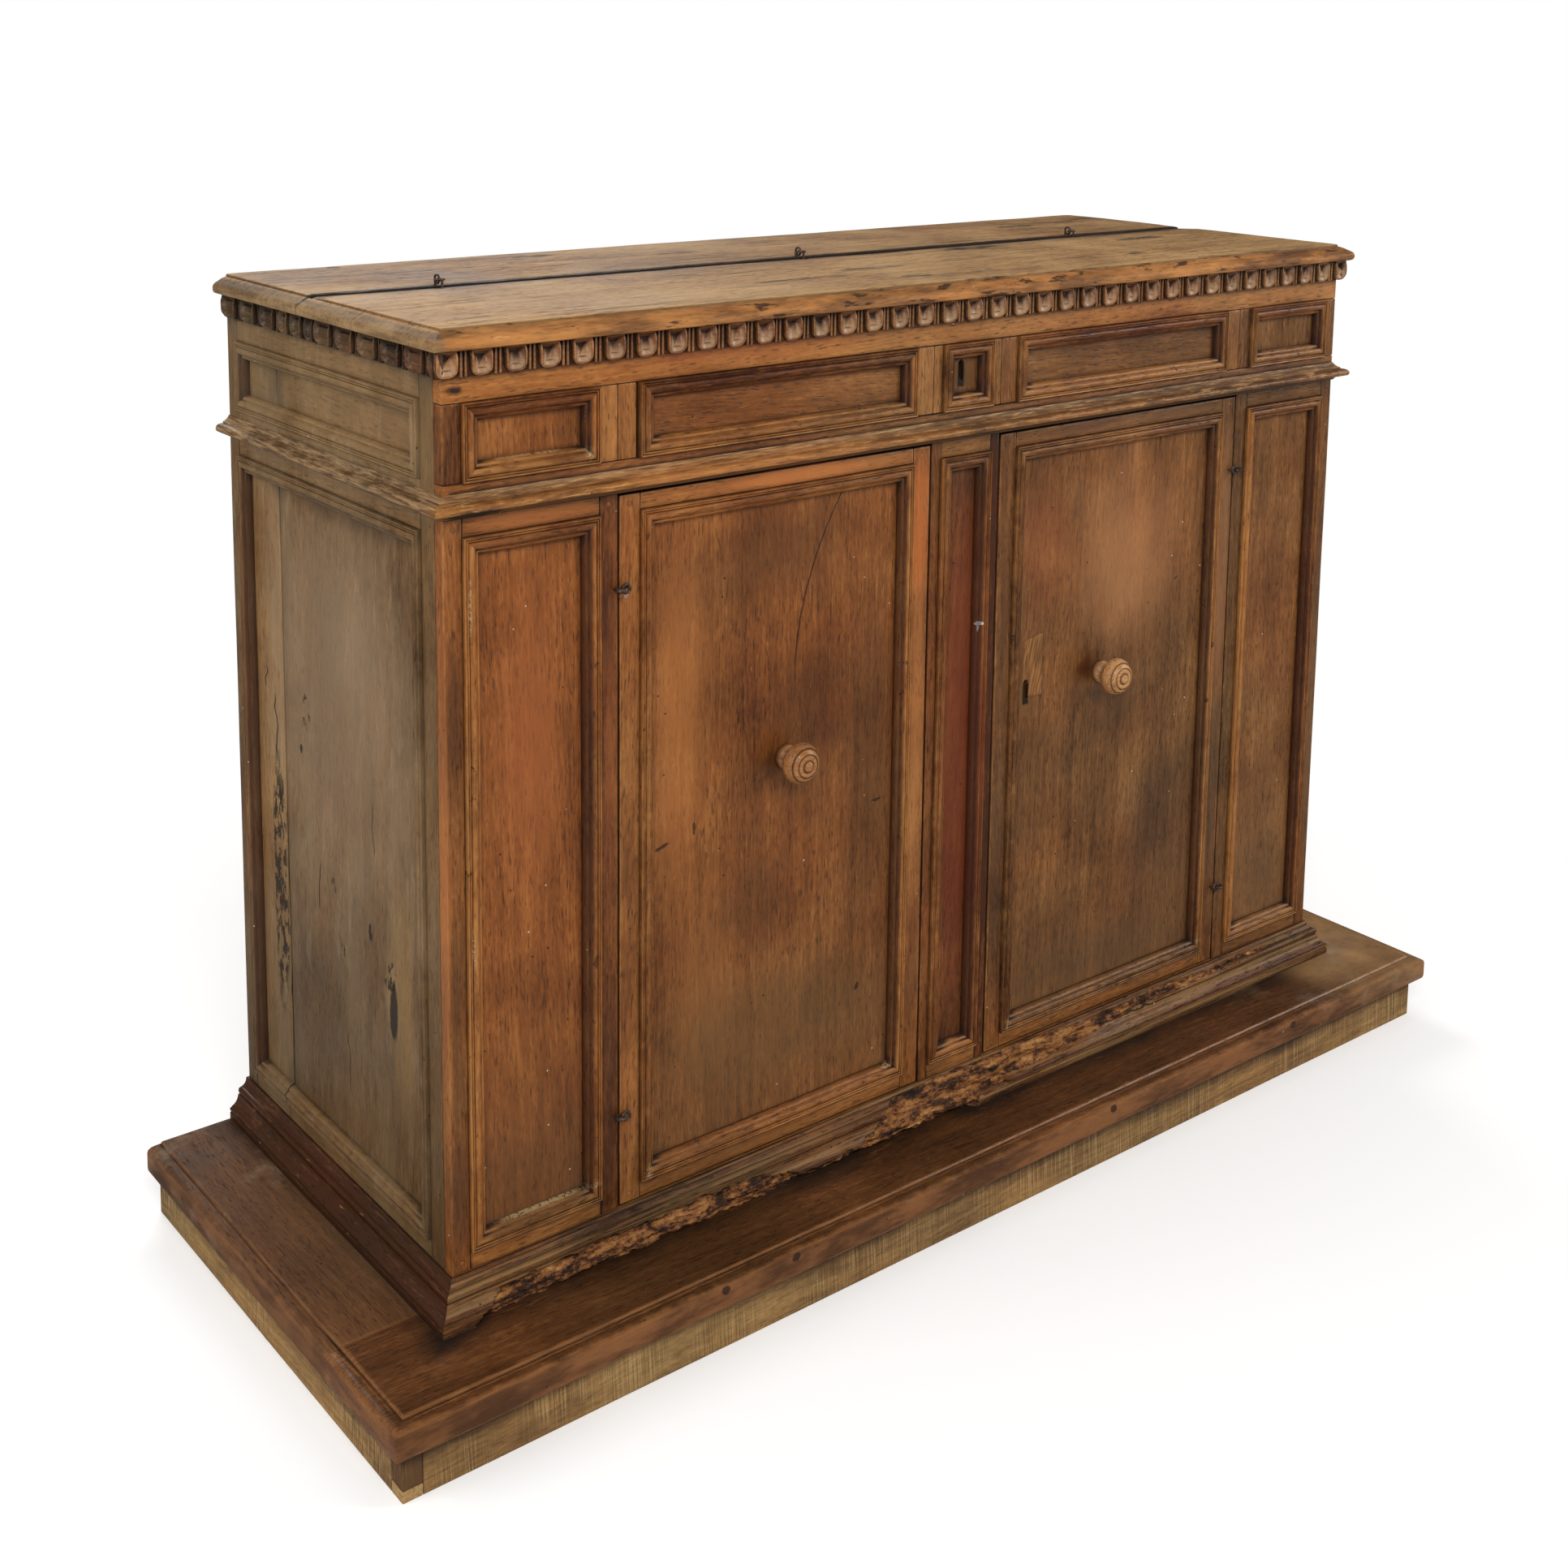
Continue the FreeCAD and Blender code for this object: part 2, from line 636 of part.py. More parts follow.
def front_frame():
    thick = ("front", "behind")
    frieze = ("frieze_bottom", "frieze_top")
    lower = ("low_edge", "high_edge")
    openings = []
    for side in SIDES:
        openings.append((f"{side}_small", mirrored(side, "narrow_edge", "corner_edge")))
        openings.append((f"{side}_wide", mirrored(side, "near_edge", "wide_edge")))
    openings.append(("square", ("-square_half_width", "square_half_width")))
    leaves, grooves, frames = [], [], []
    for name, span in openings:
        leaf, groove = front_panel(f"{name}_frieze_panel", span, frieze, "panel_thickness")
        if name == "square":
            leaf = cut("square_panel_keyed", leaf, keyhole("lid_keyhole", "lid_key_offset", "rim - lid_key_drop"))
        leaves.append(leaf)
        grooves.append(groove)
        frames.append(moulding_frame(f"{name}_frieze_moulding", "front", span, frieze))
    frieze_grooves = group("frieze_grooves", grooves)
    keep("frieze_panels", group("frieze_leaves", leaves))
    keep("frieze_mouldings", group("frieze_frames", frames))
    whole = ("-half", "half")
    keep("front_top_rail", cut("top_rail", board("top_rail_blank", whole, thick, ("frieze_top", "rim")),
                               frieze_grooves))
    keep("front_waist_rail", cut("waist_rail", board("waist_rail_blank", whole, thick,
                                                     ("waist_bottom", "frieze_bottom")), frieze_grooves))
    keep("front_bottom_rail", board("bottom_rail", whole, thick, ("stand", "plinth_top")))
    uprights = (("corner", "corner_edge", "half"), ("inner", "door_side", "narrow_edge"),
                ("muntin_width", "wide_edge", "door_side"), ("near", "post_half_width", "near_edge"),
                ("slim", "square_half_width", "post_half_width"))
    muntins = []
    for side in SIDES:
        for name, near, far in uprights:
            blank = board(f"{side}_{name}_blank", mirrored(side, near, far), thick, frieze)
            muntins.append(cut(f"{side}_{name}_upright", blank, frieze_grooves))
    keep("frieze_muntins", group("muntins", muntins))
    fixed_leaves, fixed_frames = [], []
    for side in SIDES:
        opening = mirrored(side, "narrow_edge", "corner_edge")
        leaf, groove = front_panel(f"{side}_fixed_leaf", opening, lower, "panel_thickness")
        members = (("corner_stile_width", ("corner_edge", "half"), ("plinth_top", "waist_bottom")),
                   ("inner_stile_width", ("door_side", "narrow_edge"), ("plinth_top", "waist_bottom")),
                   ("low_rail", ("narrow_edge", "corner_edge"), ("plinth_top", "low_edge")),
                   ("high_rail", ("narrow_edge", "corner_edge"), ("high_edge", "waist_bottom")))
        pieces = []
        for name, span, up in members:
            blank = board(f"{side}_{name}_blank", mirrored(side, *span), thick, up)
            pieces.append(cut(f"{side}_{name}", blank, groove))
        keep(f"{side}_fixed_frame", group(f"{side}_fixed_members", pieces))
        fixed_leaves.append(leaf)
        fixed_frames.append(moulding_frame(f"{side}_fixed_moulding", "front", opening, lower))
    post_panel = ("-square_half_width", "square_half_width")
    fixed_frames.append(moulding_frame("post_moulding", "front", post_panel, lower))
    keep("fixed_panels", group("fixed_leaves", fixed_leaves))
    keep("fixed_panel_mouldings", group("fixed_frames", fixed_frames))
    post = board("post_blank", ("-post_half_width", "post_half_width"), thick, ("plinth_top", "waist_bottom"))
    sunk = board("post_sinking", post_panel, ("front - overrun", "front + panel_recess_depth"), lower)
    keep("centre_post", cut("post", post, sunk))


def keyhole(label, across, level):
    """The hole for a key: round above, with a slot below it, right through panel and lock."""
    depth = ("front - overrun", "lid_lock_back + overrun")
    length = f"{depth[1]} - ({depth[0]})"
    eye = rod(label + "_eye", "key_hole_radius", length, Y_AXIS, across, depth[0],
              f"{level} + key_hole_height / 2 - key_hole_radius")
    slot = board(label + "_slot", (f"{across} - key_slot_width / 2", f"{across} + key_slot_width / 2"), depth,
                 (f"{level} - key_hole_height / 2", f"{level} + key_hole_height / 2 - key_hole_radius"))
    return fuse(label, [eye, slot])


front_frame()

# Sides: two stiles, three rails, a split panel of two boards and a frieze panel


def side_walls(side):
    wall = mirrored(side, "inside", "half")
    panel = mirrored(side, "half - panel_recess_depth - panel_thickness", "half - panel_recess_depth")
    play = mirrored(side, "half - panel_recess_depth - panel_thickness - panel_gap", "half - panel_recess_depth")
    lower = ("low_edge", "side_high_edge")
    frieze = ("frieze_bottom", "frieze_top")
    seam = "front + side_seam_distance"
    front_end = "side_opening_front - groove_depth"
    rear_end = "side_opening_rear + groove_depth"
    leaves = []
    grooves = []
    for name, up, spans in (("lower", lower, ((front_end, f"{seam} - board_gap / 2"),
                                              (f"{seam} + board_gap / 2", rear_end))),
                            ("frieze", frieze, ((front_end, rear_end),))):
        for count, span in enumerate(spans):
            leaves.append(board(f"{side}_{name}_leaf_{count}", panel, span,
                                (f"{up[0]} - groove_depth", f"{up[1]} + groove_depth")))
        grooves.append(board(f"{side}_{name}_groove", play, (f"{front_end} - panel_gap", f"{rear_end} + panel_gap"),
                             (f"{up[0]} - groove_depth", f"{up[1]} + groove_depth + panel_gap")))
    both = group(f"{side}_grooves", grooves)
    stile_rise = ("stand", "frieze_top")
    between = ("side_opening_front", "side_opening_rear")
    members = (("front_stile", ("behind", "side_opening_front"), stile_rise),
               ("rear_stile", ("side_opening_rear", "rear"), stile_rise),
               ("high_rail", ("behind", "rear"), ("frieze_top", "rim")),
               ("waist_rail", between, ("side_high_edge", "frieze_bottom")),
               ("low_rail", between, ("stand", "low_edge")))
    pieces = []
    for name, span, up in members:
        blank = board(f"{side}_side_{name}_blank", wall, span, up)
        pieces.append(cut(f"{side}_side_{name}", blank, both))
    keep(f"{side}_side_frame", group(f"{side}_side_members", pieces))
    keep(f"{side}_side_panels", group(f"{side}_side_leaves", leaves))
    frames = [moulding_frame(f"{side}_side_{name}_moulding", side, between, up)
              for name, up in (("lower", lower), ("frieze", frieze))]
    keep(f"{side}_side_mouldings", group(f"{side}_side_frames", frames))


for side in SIDES:
    side_walls(side)

# Inside: bottom, shelf, well floor, cleats under them, and upright back boards


def inside_boards():
    floor = ("-inside", "inside")
    keep("bottom_board", board("bottom", floor, ("door_back + door_rest_gap", "back_face"),
                               ("stand + bottom_height - inner_board_thickness", "stand + bottom_height")))
    keep("shelf", board("shelf_board", floor, ("front + shelf_setback_depth", "back_face"),
                        ("stand + shelf_height", "stand + shelf_height + inner_board_thickness")))
    keep("well_floor", board("well_board", floor, ("behind", "back_face"),
                             ("waist_bottom + well_rise", "waist_bottom + well_rise + inner_board_thickness")))
    cleats = []
    for name, underside in (("bottom", "stand + bottom_height - inner_board_thickness"), ("shelf", "stand + shelf_height"),
                            ("well", "waist_bottom + well_rise")):
        for side in SIDES:
            cleats.append(board(f"{side}_{name}_cleat", mirrored(side, "inside - cleat_width", "inside"),
                                ("back_face - cleat_depth", "back_face"),
                                (f"{underside} - cleat_width", underside)))
    keep("cleats", group("cleat_set", cleats))
    width = "(2 * inside / back_count)"
    backs = []
    for index in range(int(number("back_count"))):
        low = f"-inside + {index} * {width}"
        high = f"{low} + {width}"
        if index < int(number("back_count")) - 1:
            high += " - board_gap"
        backs.append(board(f"back_{index}", (low, high), ("back_face", "rear"), ("stand", "rim")))
    keep("back_boards", group("backs", backs))


inside_boards()

# Top: a fixed rear board and the lid, worked with one moulding round three edges

top_waste = run_round(
    "top_waste", "top_reach + overrun", "top_reach + overrun", "rim - overrun", X_AXIS,
    [("0", "0"),
     ("overrun + top_lip_inset", "0"),
     ("overrun + top_lip_inset", "overrun"),
     ("overrun", "overrun + top_lip_height"),
     ("overrun", "overrun + top_nose_height"),
     ("overrun + top_quirk_inset - top_quirk_step_width", "overrun + top_thickness - top_quirk_drop_depth",
      "-top_ovolo_share"),
     ("overrun + top_quirk_inset", "overrun + top_thickness - top_quirk_drop_depth"),
     ("overrun + top_quirk_inset", "2 * overrun + top_thickness"),
     ("0", "2 * overrun + top_thickness")])


def top_and_strip():
    across = ("-half - top_reach - overrun", "half + top_reach + overrun")
    up = ("rim", "top_level")
    lid = board("lid_blank", across, ("front - top_reach - overrun", "seam_front"), up)
    keep("lid_board", cut("lid", lid, top_waste))
    rear_board = board("rear_top_blank", across, ("seam_rear", "rear"), up)
    keep("rear_top_board", cut("rear_top", rear_board, top_waste))
    strip = run_round(
        "strip_run", "0", "0", "rim - strip_height", -X_AXIS,
        [("strip_clearance", "0"),
         ("strip_foot_reach", "0"),
         ("strip_reach", "strip_swell_foot_height"),
         ("strip_reach", "strip_swell_height"),
         ("strip_top_reach", "strip_height"),
         ("strip_clearance", "strip_height")])
    keep("lid_carved_front", common("front_strip", strip, front_sector))
    keep("lid_carved_returns", group("strip_returns", [
        common(f"{side}_lid_strip", strip, lid_sectors[side]) for side in SIDES]))
    keep("rear_carved_strips", group("rear_strips", [
        common(f"{side}_rear_strip", strip, rear_sectors[side]) for side in SIDES]))


top_and_strip()

# Snipe hinges: two linked wire eyes each, with a spike driven into the wood


def ring(label, normal, across, along, up):
    """A closed wire eye whose plane faces a direction."""
    piece = doc.addObject("Part::Torus", label)
    piece.Placement = FreeCAD.Placement(FreeCAD.Vector(), FreeCAD.Rotation(Z_AXIS, normal))
    piece.setExpression("Radius1", bound("eye_radius"))
    piece.setExpression("Radius2", bound("eye_wire_radius"))
    place(piece, across, along, up)
    return piece


def door_eyes():
    fixed = []
    for side in SIDES:
        sign = "-" if side == "left" else ""
        moving = []
        for name, level in (("high", "door_high - door_eye_head_distance"),
                            ("low", "door_low + door_eye_foot_distance")):
            length = "door_axis_reach + eye_spike_length"
            middle = f"{sign}(door_axis + eye_offset)"
            spike = f"{sign}(door_axis + eye_offset + eye_radius)"
            eye = ring(f"{side}_{name}_fixed_ring", Z_AXIS, middle, "door_axis_front", level)
            leg = rod(f"{side}_{name}_fixed_leg", "spike_wire_radius", length, Y_AXIS, spike, "door_axis_front", level)
            fixed.append(fuse(f"{side}_{name}_fixed_eye", [eye, leg]))
            middle = f"{sign}(door_axis - eye_radius)"
            spike = f"{sign}(door_axis - 2 * eye_radius)"
            eye = ring(f"{side}_{name}_moving_ring", Y_AXIS, middle, "door_axis_front", level)
            leg = rod(f"{side}_{name}_moving_leg", "spike_wire_radius", length, Y_AXIS, spike, "door_axis_front", level)
            moving.append(fuse(f"{side}_{name}_moving_eye", [eye, leg]))
        keep(f"{side}_door_eyes", group(f"{side}_door_eye_pair", moving))
    keep("door_fixed_eyes", group("door_fixed_set", fixed))


def lid_eyes():
    fixed, moving = [], []
    length = "lid_axis_rise + lid_spike_length"
    for name, across in (("left", "-lid_left_eye_distance"), ("middle", "-lid_middle_eye_distance"), ("right", "lid_right_eye_distance")):
        eye = ring(f"{name}_lid_fixed_ring", X_AXIS, across, "lid_axis + eye_offset", "lid_axis_level")
        leg = rod(f"{name}_lid_fixed_leg", "spike_wire_radius", length, -Z_AXIS, across,
                  "lid_axis + eye_offset + eye_radius", "lid_axis_level")
        fixed.append(fuse(f"{name}_lid_fixed_eye", [eye, leg]))
        eye = ring(f"{name}_lid_moving_ring", Z_AXIS, across, "lid_axis - eye_radius", "lid_axis_level")
        leg = rod(f"{name}_lid_moving_leg", "spike_wire_radius", length, -Z_AXIS, across,
                  "lid_axis - 2 * eye_radius", "lid_axis_level")
        moving.append(fuse(f"{name}_lid_moving_eye", [eye, leg]))
    keep("lid_fixed_eyes", group("lid_fixed_set", fixed))
    keep("lid_moving_eyes", group("lid_moving_set", moving))


door_eyes()
lid_eyes()

# Doors: frame, panel, moulding and turned knob


def knob(side):
    """A turned knob: base, neck, round head, sunk face and a button in its middle."""
    body = doc.addObject("PartDesign::Body", f"{side}_knob_body")
    sketch = body.newObject("Sketcher::SketchObject", f"{side}_knob_section")
    plane = next(part for part in body.Origin.OriginFeatures if part.Role == "XY_Plane")
    sketch.AttachmentSupport = (plane, [""])
    sketch.MapMode = "FlatFace"
    outline(sketch, [("0", "0"),
                     ("knob_base_radius", "0"),
                     ("knob_base_radius", "knob_base_length"),
                     ("knob_neck_radius", "knob_neck_length"),
                     ("knob_head_radius", "knob_head_length", "knob_head_share"),
                     ("knob_face_radius", "knob_face_length", "knob_head_share"),
                     ("knob_ring_radius", "knob_face_length"),
                     ("knob_button_radius", "knob_dish_length"),
                     ("knob_button_radius", "knob_length"),
                     ("0", "knob_length")])
    turn = body.newObject("PartDesign::Revolution", f"{side}_knob_turning")
    turn.Profile = sketch
    turn.ReferenceAxis = (sketch, ["V_Axis"])
    turn.Angle = 360
    body.Tip = turn
    body.Placement = FreeCAD.Placement(FreeCAD.Vector(), FreeCAD.Rotation(-X_AXIS, -Y_AXIS, Z_AXIS, "XYZ"))
    sign = "-" if side == "left" else ""
    place(body, f"{sign}{side}_knob_distance", "front + panel_recess_depth", "stand + knob_rise")
    return body


def door(side):
    span = mirrored(side, "door_near + door_stile_width", "door_far - door_stile_width")
    up = ("door_low + door_foot_rail_height", "door_high - door_head_rail_height")
    leaf, groove = front_panel(f"{side}_door_leaf", span, up, "door_panel_thickness")
    thick = ("front", "door_back")
    members = (("near_stile", ("door_near", "door_near + door_stile_width"), ("door_low", "door_high")),
               ("far_stile", ("door_far - door_stile_width", "door_far"), ("door_low", "door_high")),
               ("low_rail", ("door_near + door_stile_width", "door_far - door_stile_width"), ("door_low", up[0])),
               ("high_rail", ("door_near + door_stile_width", "door_far - door_stile_width"), (up[1], "door_high")))
    pieces = []
    for name, width, rise in members:
        blank = board(f"{side}_door_{name}_blank", mirrored(side, *width), thick, rise)
        pieces.append(cut(f"{side}_door_{name}", blank, groove))
    keep(f"{side}_door_frame", group(f"{side}_door_members", pieces))
    keep(f"{side}_door_moulding", moulding_frame(f"{side}_door_mould", "front", span, up))
    keep(f"{side}_door_knob", knob(side))
    return leaf


# Locks: an iron case with a sliding bolt on the right door, and one behind the frieze for the lid


def door_lock(leaf):
    hole = keyhole("door_keyhole", "door_key_distance", "lock_level")
    keep("right_door_panel", cut("keyed_leaf", leaf, hole))
    low = "lock_level - lock_height / 2"
    case = board("lock_block", ("door_near + lock_inset", "door_near + lock_inset + lock_width"),
                 ("door_back", "door_back + lock_thickness"), (low, f"{low} + lock_height"))
    bolt_face = "door_back + bolt_cover_depth"
    bolt_foot = "lock_level + bolt_rise"
    channel = board("bolt_channel", ("door_near", "door_near + lock_inset + bolt_length + bolt_gap"),
                    (f"{bolt_face} - bolt_gap", f"{bolt_face} + bolt_thickness + bolt_gap"),
                    (f"{bolt_foot} - bolt_gap", f"{bolt_foot} + bolt_height + bolt_gap"))
    keep("door_lock_case", cut("door_lock_keyed", cut("door_lock_channelled", case, channel), hole))
    keep("door_lock_bolt", board("door_bolt", ("door_near + lock_inset", "door_near + lock_inset + bolt_length"),
                                 (bolt_face, f"{bolt_face} + bolt_thickness"),
                                 (bolt_foot, f"{bolt_foot} + bolt_height")))


def lid_lock():
    case = board("lid_lock_block", ("-lid_lock_half_width", "lid_lock_half_width"), ("behind", "lid_lock_back"),
                 ("rim - lid_lock_drop - lid_lock_height", "rim - lid_lock_drop"))
    face = "behind + lid_bolt_cover_depth"
    end = "lid_lock_half_width - lid_bolt_inset"
    channel = board("lid_bolt_channel", (f"{end} - lid_bolt_length - bolt_gap", "lid_lock_half_width + overrun"),
                    (f"{face} - bolt_gap", f"{face} + bolt_thickness + bolt_gap"),
                    ("lid_bolt_level - bolt_gap", "lid_bolt_level + lid_bolt_height + bolt_gap"))
    hole = keyhole("lid_case_keyhole", "lid_key_offset", "rim - lid_key_drop")
    keep("lid_lock_case", cut("lid_lock_keyed", cut("lid_lock_channelled", case, channel), hole))
    keep("lid_lock_bolt", board("lid_bolt", (f"{end} - lid_bolt_length", end),
                                (face, f"{face} + bolt_thickness"),
                                ("lid_bolt_level", "lid_bolt_level + lid_bolt_height")))
    near = "behind + staple_near_depth"
    far = f"{near} + staple_span_width"
    foot = "rim - staple_drop"
    length = "staple_drop + top_thickness / 2"
    legs = [rod(f"staple_{name}_leg", "staple_wire_radius", length, Z_AXIS, "staple_distance", at, foot)
            for name, at in (("near", near), ("far", far))]
    bar = rod("staple_bar", "staple_wire_radius", "staple_span_width + 2 * staple_wire_radius", Y_AXIS, "staple_distance",
              f"{near} - staple_wire_radius", foot)
    keep("lid_staple", fuse("staple", [*legs, bar]))


def turn_button():
    back = "door_back + button_gap"
    blank = board("button_blank", ("-button_axis - button_width / 2", "-button_axis + button_width / 2"),
                  (back, f"{back} + button_thickness"), ("button_middle - button_half_length", "button_middle + button_half_length"))
    hole = rod("button_hole", "pin_radius + pin_gap", "button_thickness + 2 * overrun", Y_AXIS,
               "-button_axis", f"{back} - overrun", "button_middle")
    keep("turn_button", cut("button", blank, hole))
    shank = rod("pin_shank", "pin_radius", "pin_depth + 2 * button_gap + button_thickness + pin_head_thickness",
                Y_AXIS, "-button_axis", "door_back - pin_depth", "button_middle")
    head = rod("pin_head", "pin_head_radius", "pin_head_thickness", Y_AXIS, "-button_axis",
               f"{back} + button_thickness + button_gap", "button_middle")
    keep("turn_button_pin", fuse("pin", [shank, head]))


keep("left_door_panel", door("left"))
door_lock(door("right"))
lid_lock()
turn_button()

doc.recompute()

for thing in doc.Objects:
    if "Invalid" in thing.State or "Error" in thing.State:
        raise RuntimeError(f"{thing.Name} failed: {thing.State}")
for label, piece in nodes.items():
    if piece.Shape.isNull() or not piece.Shape.isValid() or not piece.Shape.Solids:
        raise RuntimeError(f"{label} has no valid shape")

os.makedirs("parts", exist_ok=True)
for label, piece in nodes.items():
    piece.Shape.exportStep(f"parts/{label}.step")
print(len(nodes), "sub-parts,", sum(len(piece.Shape.Solids) for piece in nodes.values()), "solids")
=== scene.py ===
import math
import random

import bmesh
import bpy
from mathutils import Matrix, Vector, noise
from mathutils.bvhtree import BVHTree


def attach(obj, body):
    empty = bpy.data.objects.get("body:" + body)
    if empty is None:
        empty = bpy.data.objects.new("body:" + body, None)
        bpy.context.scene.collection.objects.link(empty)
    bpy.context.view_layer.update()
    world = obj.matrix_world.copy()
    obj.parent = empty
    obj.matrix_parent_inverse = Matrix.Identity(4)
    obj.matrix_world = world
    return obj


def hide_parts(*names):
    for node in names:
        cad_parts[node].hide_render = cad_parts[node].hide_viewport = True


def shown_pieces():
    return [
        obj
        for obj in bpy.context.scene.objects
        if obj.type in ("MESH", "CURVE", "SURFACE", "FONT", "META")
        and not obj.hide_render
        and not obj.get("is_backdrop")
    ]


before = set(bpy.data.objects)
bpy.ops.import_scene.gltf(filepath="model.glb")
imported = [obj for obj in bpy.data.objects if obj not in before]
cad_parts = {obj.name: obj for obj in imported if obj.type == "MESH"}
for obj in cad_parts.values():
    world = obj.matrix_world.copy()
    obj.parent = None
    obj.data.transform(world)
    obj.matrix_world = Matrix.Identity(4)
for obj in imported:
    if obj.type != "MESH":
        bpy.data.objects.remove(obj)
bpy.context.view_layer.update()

noise.seed_set(1)  # or else the clock sets it, and every run bends the wood in another way


# The stand: a pale floor that fades into a white room, with wide soft lamps on
# both sides of the front. None of it belongs to the credenza.

class Tone:
    """A value that varies over a surface, with the sums that are done on it."""

    def __init__(self, finish, socket):
        self.finish, self.socket = finish, socket

    def sum(self, operation, *others, clamp=False):
        return self.finish.node("ShaderNodeMath", {"operation": operation, "use_clamp": clamp},
                                dict(enumerate((self,) + others)))

    def __add__(self, other):
        return self.sum("ADD", other)

    def __mul__(self, other):
        return self.sum("MULTIPLY", other)

    __radd__, __rmul__ = __add__, __mul__

    def __sub__(self, other):
        return self.sum("SUBTRACT", other)

    def __rsub__(self, other):
        return (self * -1.0) + other

    def __truediv__(self, other):
        return self.sum("DIVIDE", other)

    def __pow__(self, other):
        return self.sum("POWER", other)

    def over(self, start, full):
        """0 below start and 1 above full, or the other way round if full is the lower."""
        return self.finish.node("ShaderNodeMapRange", {"interpolation_type": "SMOOTHSTEP"},
                                {"Value": self, "From Min": start, "From Max": full})

    def within(self, centre, reach):
        """1 at the centre, falling to 0 at the reach on either side."""
        return (self - centre).sum("ABSOLUTE").over(reach, 0)

    def either(self, other):
        return self.sum("MAXIMUM", other)

    def both(self, other):
        return self.sum("MINIMUM", other)


class Finish:
    """A finish, laid on coat by coat."""

    def __init__(self, name):
        self.made = bpy.data.materials.new(name)
        self.made.use_nodes = True
        self.tree = self.made.node_tree
        self.tree.nodes.clear()
        self.where = self.node("ShaderNodeTexCoord", out="Object")
        self.place = self.parts(self.where)

    def node(self, kind, settings=None, values=None, out=0):
        node = self.tree.nodes.new(kind)
        for key, value in (settings or {}).items():
            if key == "stops":
                ramp = node.color_ramp.elements
                while len(ramp) < len(value):
                    ramp.new(.5)
                for stop, (place, colour) in zip(ramp, value):
                    stop.position, stop.color = place, colour
            else:
                setattr(node, key, value)
        for key, value in (values or {}).items():
            if isinstance(value, Tone):
                self.tree.links.new(value.socket, node.inputs[key])
            else:
                node.inputs[key].default_value = value
        return Tone(self, node.outputs[out]) if node.outputs else None

    def blend(self, amount, under, over):
        """One colour laid over another."""
        return self.node("ShaderNodeMix", {"data_type": "RGBA", "blend_type": "MIX", "clamp_factor": True},
                         {0: amount, 6: under, 7: over}, out=2)

    def stain(self, amount, colour):
        """Lays a colour over the shade so far. It is mixed already, or three numbers from a paint chart."""
        self.shade = self.blend(amount, self.shade, paint(*colour) if isinstance(colour, tuple) else colour)

    def ramp(self, value, stops):
        """Colours that follow a value from stop to stop."""
        return self.node("ShaderNodeValToRGB", {"stops": [(place, paint(*colour)) for place, colour in stops]},
                         {0: value})

    def kept(self, name, out="Fac"):
        """What was written on the wood's points under a name."""
        return self.node("ShaderNodeAttribute", {"attribute_name": name}, out=out)

    def parts(self, vector):
        split = self.node("ShaderNodeSeparateXYZ", values={0: vector})
        return [Tone(self, socket) for socket in split.socket.node.outputs]

    def point(self, x=0.0, y=0.0, z=0.0):
        return self.node("ShaderNodeCombineXYZ", values={0: x, 1: y, 2: z})

    def cloud(self, scale, detail=2.0, roughness=.5, distortion=0.0, shift=0.0, at=None):
        """Soft noise, 0 to 1. A scale of three numbers draws it out or presses it together in each direction."""
        at = at or self.where
        if isinstance(scale, tuple):
            at, scale = self.stretched(at, *scale, shift), 1.0
        return self.node("ShaderNodeTexNoise", values={"Vector": at, "Scale": scale, "Detail": detail,
                                                       "Roughness": roughness, "Distortion": distortion})

    def stretched(self, where, along, across, through, shift=0.0):
        """The same point with each direction drawn out or pressed together."""
        return self.node("ShaderNodeMapping", values={"Vector": where, "Scale": (along, across, through),
                                                      "Location": (shift, shift * 1.7, shift * .6)})

    def patch(self, centre, reach, soft=.35):
        """1 inside an uneven oval patch, fading to 0 at its edge. A reach of 0 leaves that direction free."""
        total = 0.0
        for value, middle, wide in zip(self.place, centre, reach):
            if wide:
                away = (value - middle) / wide
                total = away * away + total
        ragged = (self.cloud(.9 / max(reach), 3.0, .6) - .5) * 1.1
        return (total.sum("SQRT") + ragged).over(1, 1 - soft)

    def spots(self, *rows):
        """Patches on the front: for each its x and z, its reach in both, its softness, its strength and its
        colour."""
        for x, z, wide, tall, soft, amount, colour in rows:
            self.stain(self.patch((x, 0, z), (wide, 0, tall), soft) * amount, colour)

    def close(self, surface):
        self.node("ShaderNodeOutputMaterial", values={"Surface": surface})
        return self.made


def paint(red, green, blue):
    """A colour as a paint chart gives it, 0 to 255."""
    parts = [c / 255 for c in (red, green, blue)]
    return tuple(c / 12.92 if c * 255 <= 10 else ((c + .055) / 1.055) ** 2.4 for c in parts) + (1.0,)


def stand_floor():
    floor = Finish("stand_floor")
    seen = floor.node("ShaderNodeLightPath", out="Is Camera Ray")
    mirrored = floor.node("ShaderNodeLightPath", out="Is Glossy Ray")
    away = floor.node("ShaderNodeVectorMath", {"operation": "LENGTH"}, {0: floor.where}, out="Value").over(1.35, 2.6)
    grey = floor.blend(mirrored, (.8, .8, .79, 1), (.25, .25, .25, 1))
    pale = floor.node("ShaderNodeBsdfDiffuse", values={"Color": grey})
    scrubbed = floor.node("ShaderNodeBsdfDiffuse", values={"Color": (.96, .96, .955, 1)})
    lift, white = (floor.node("ShaderNodeEmission", values={"Color": (1, 1, 1, 1), "Strength": strength})
                   for strength in (.16, 1.0))
    lit = floor.node("ShaderNodeAddShader", values={0: scrubbed, 1: lift})
    shown = floor.node("ShaderNodeMixShader", values={0: away, 1: lit, 2: white})
    return floor.close(floor.node("ShaderNodeMixShader", values={0: seen, 1: pale, 2: shown}))


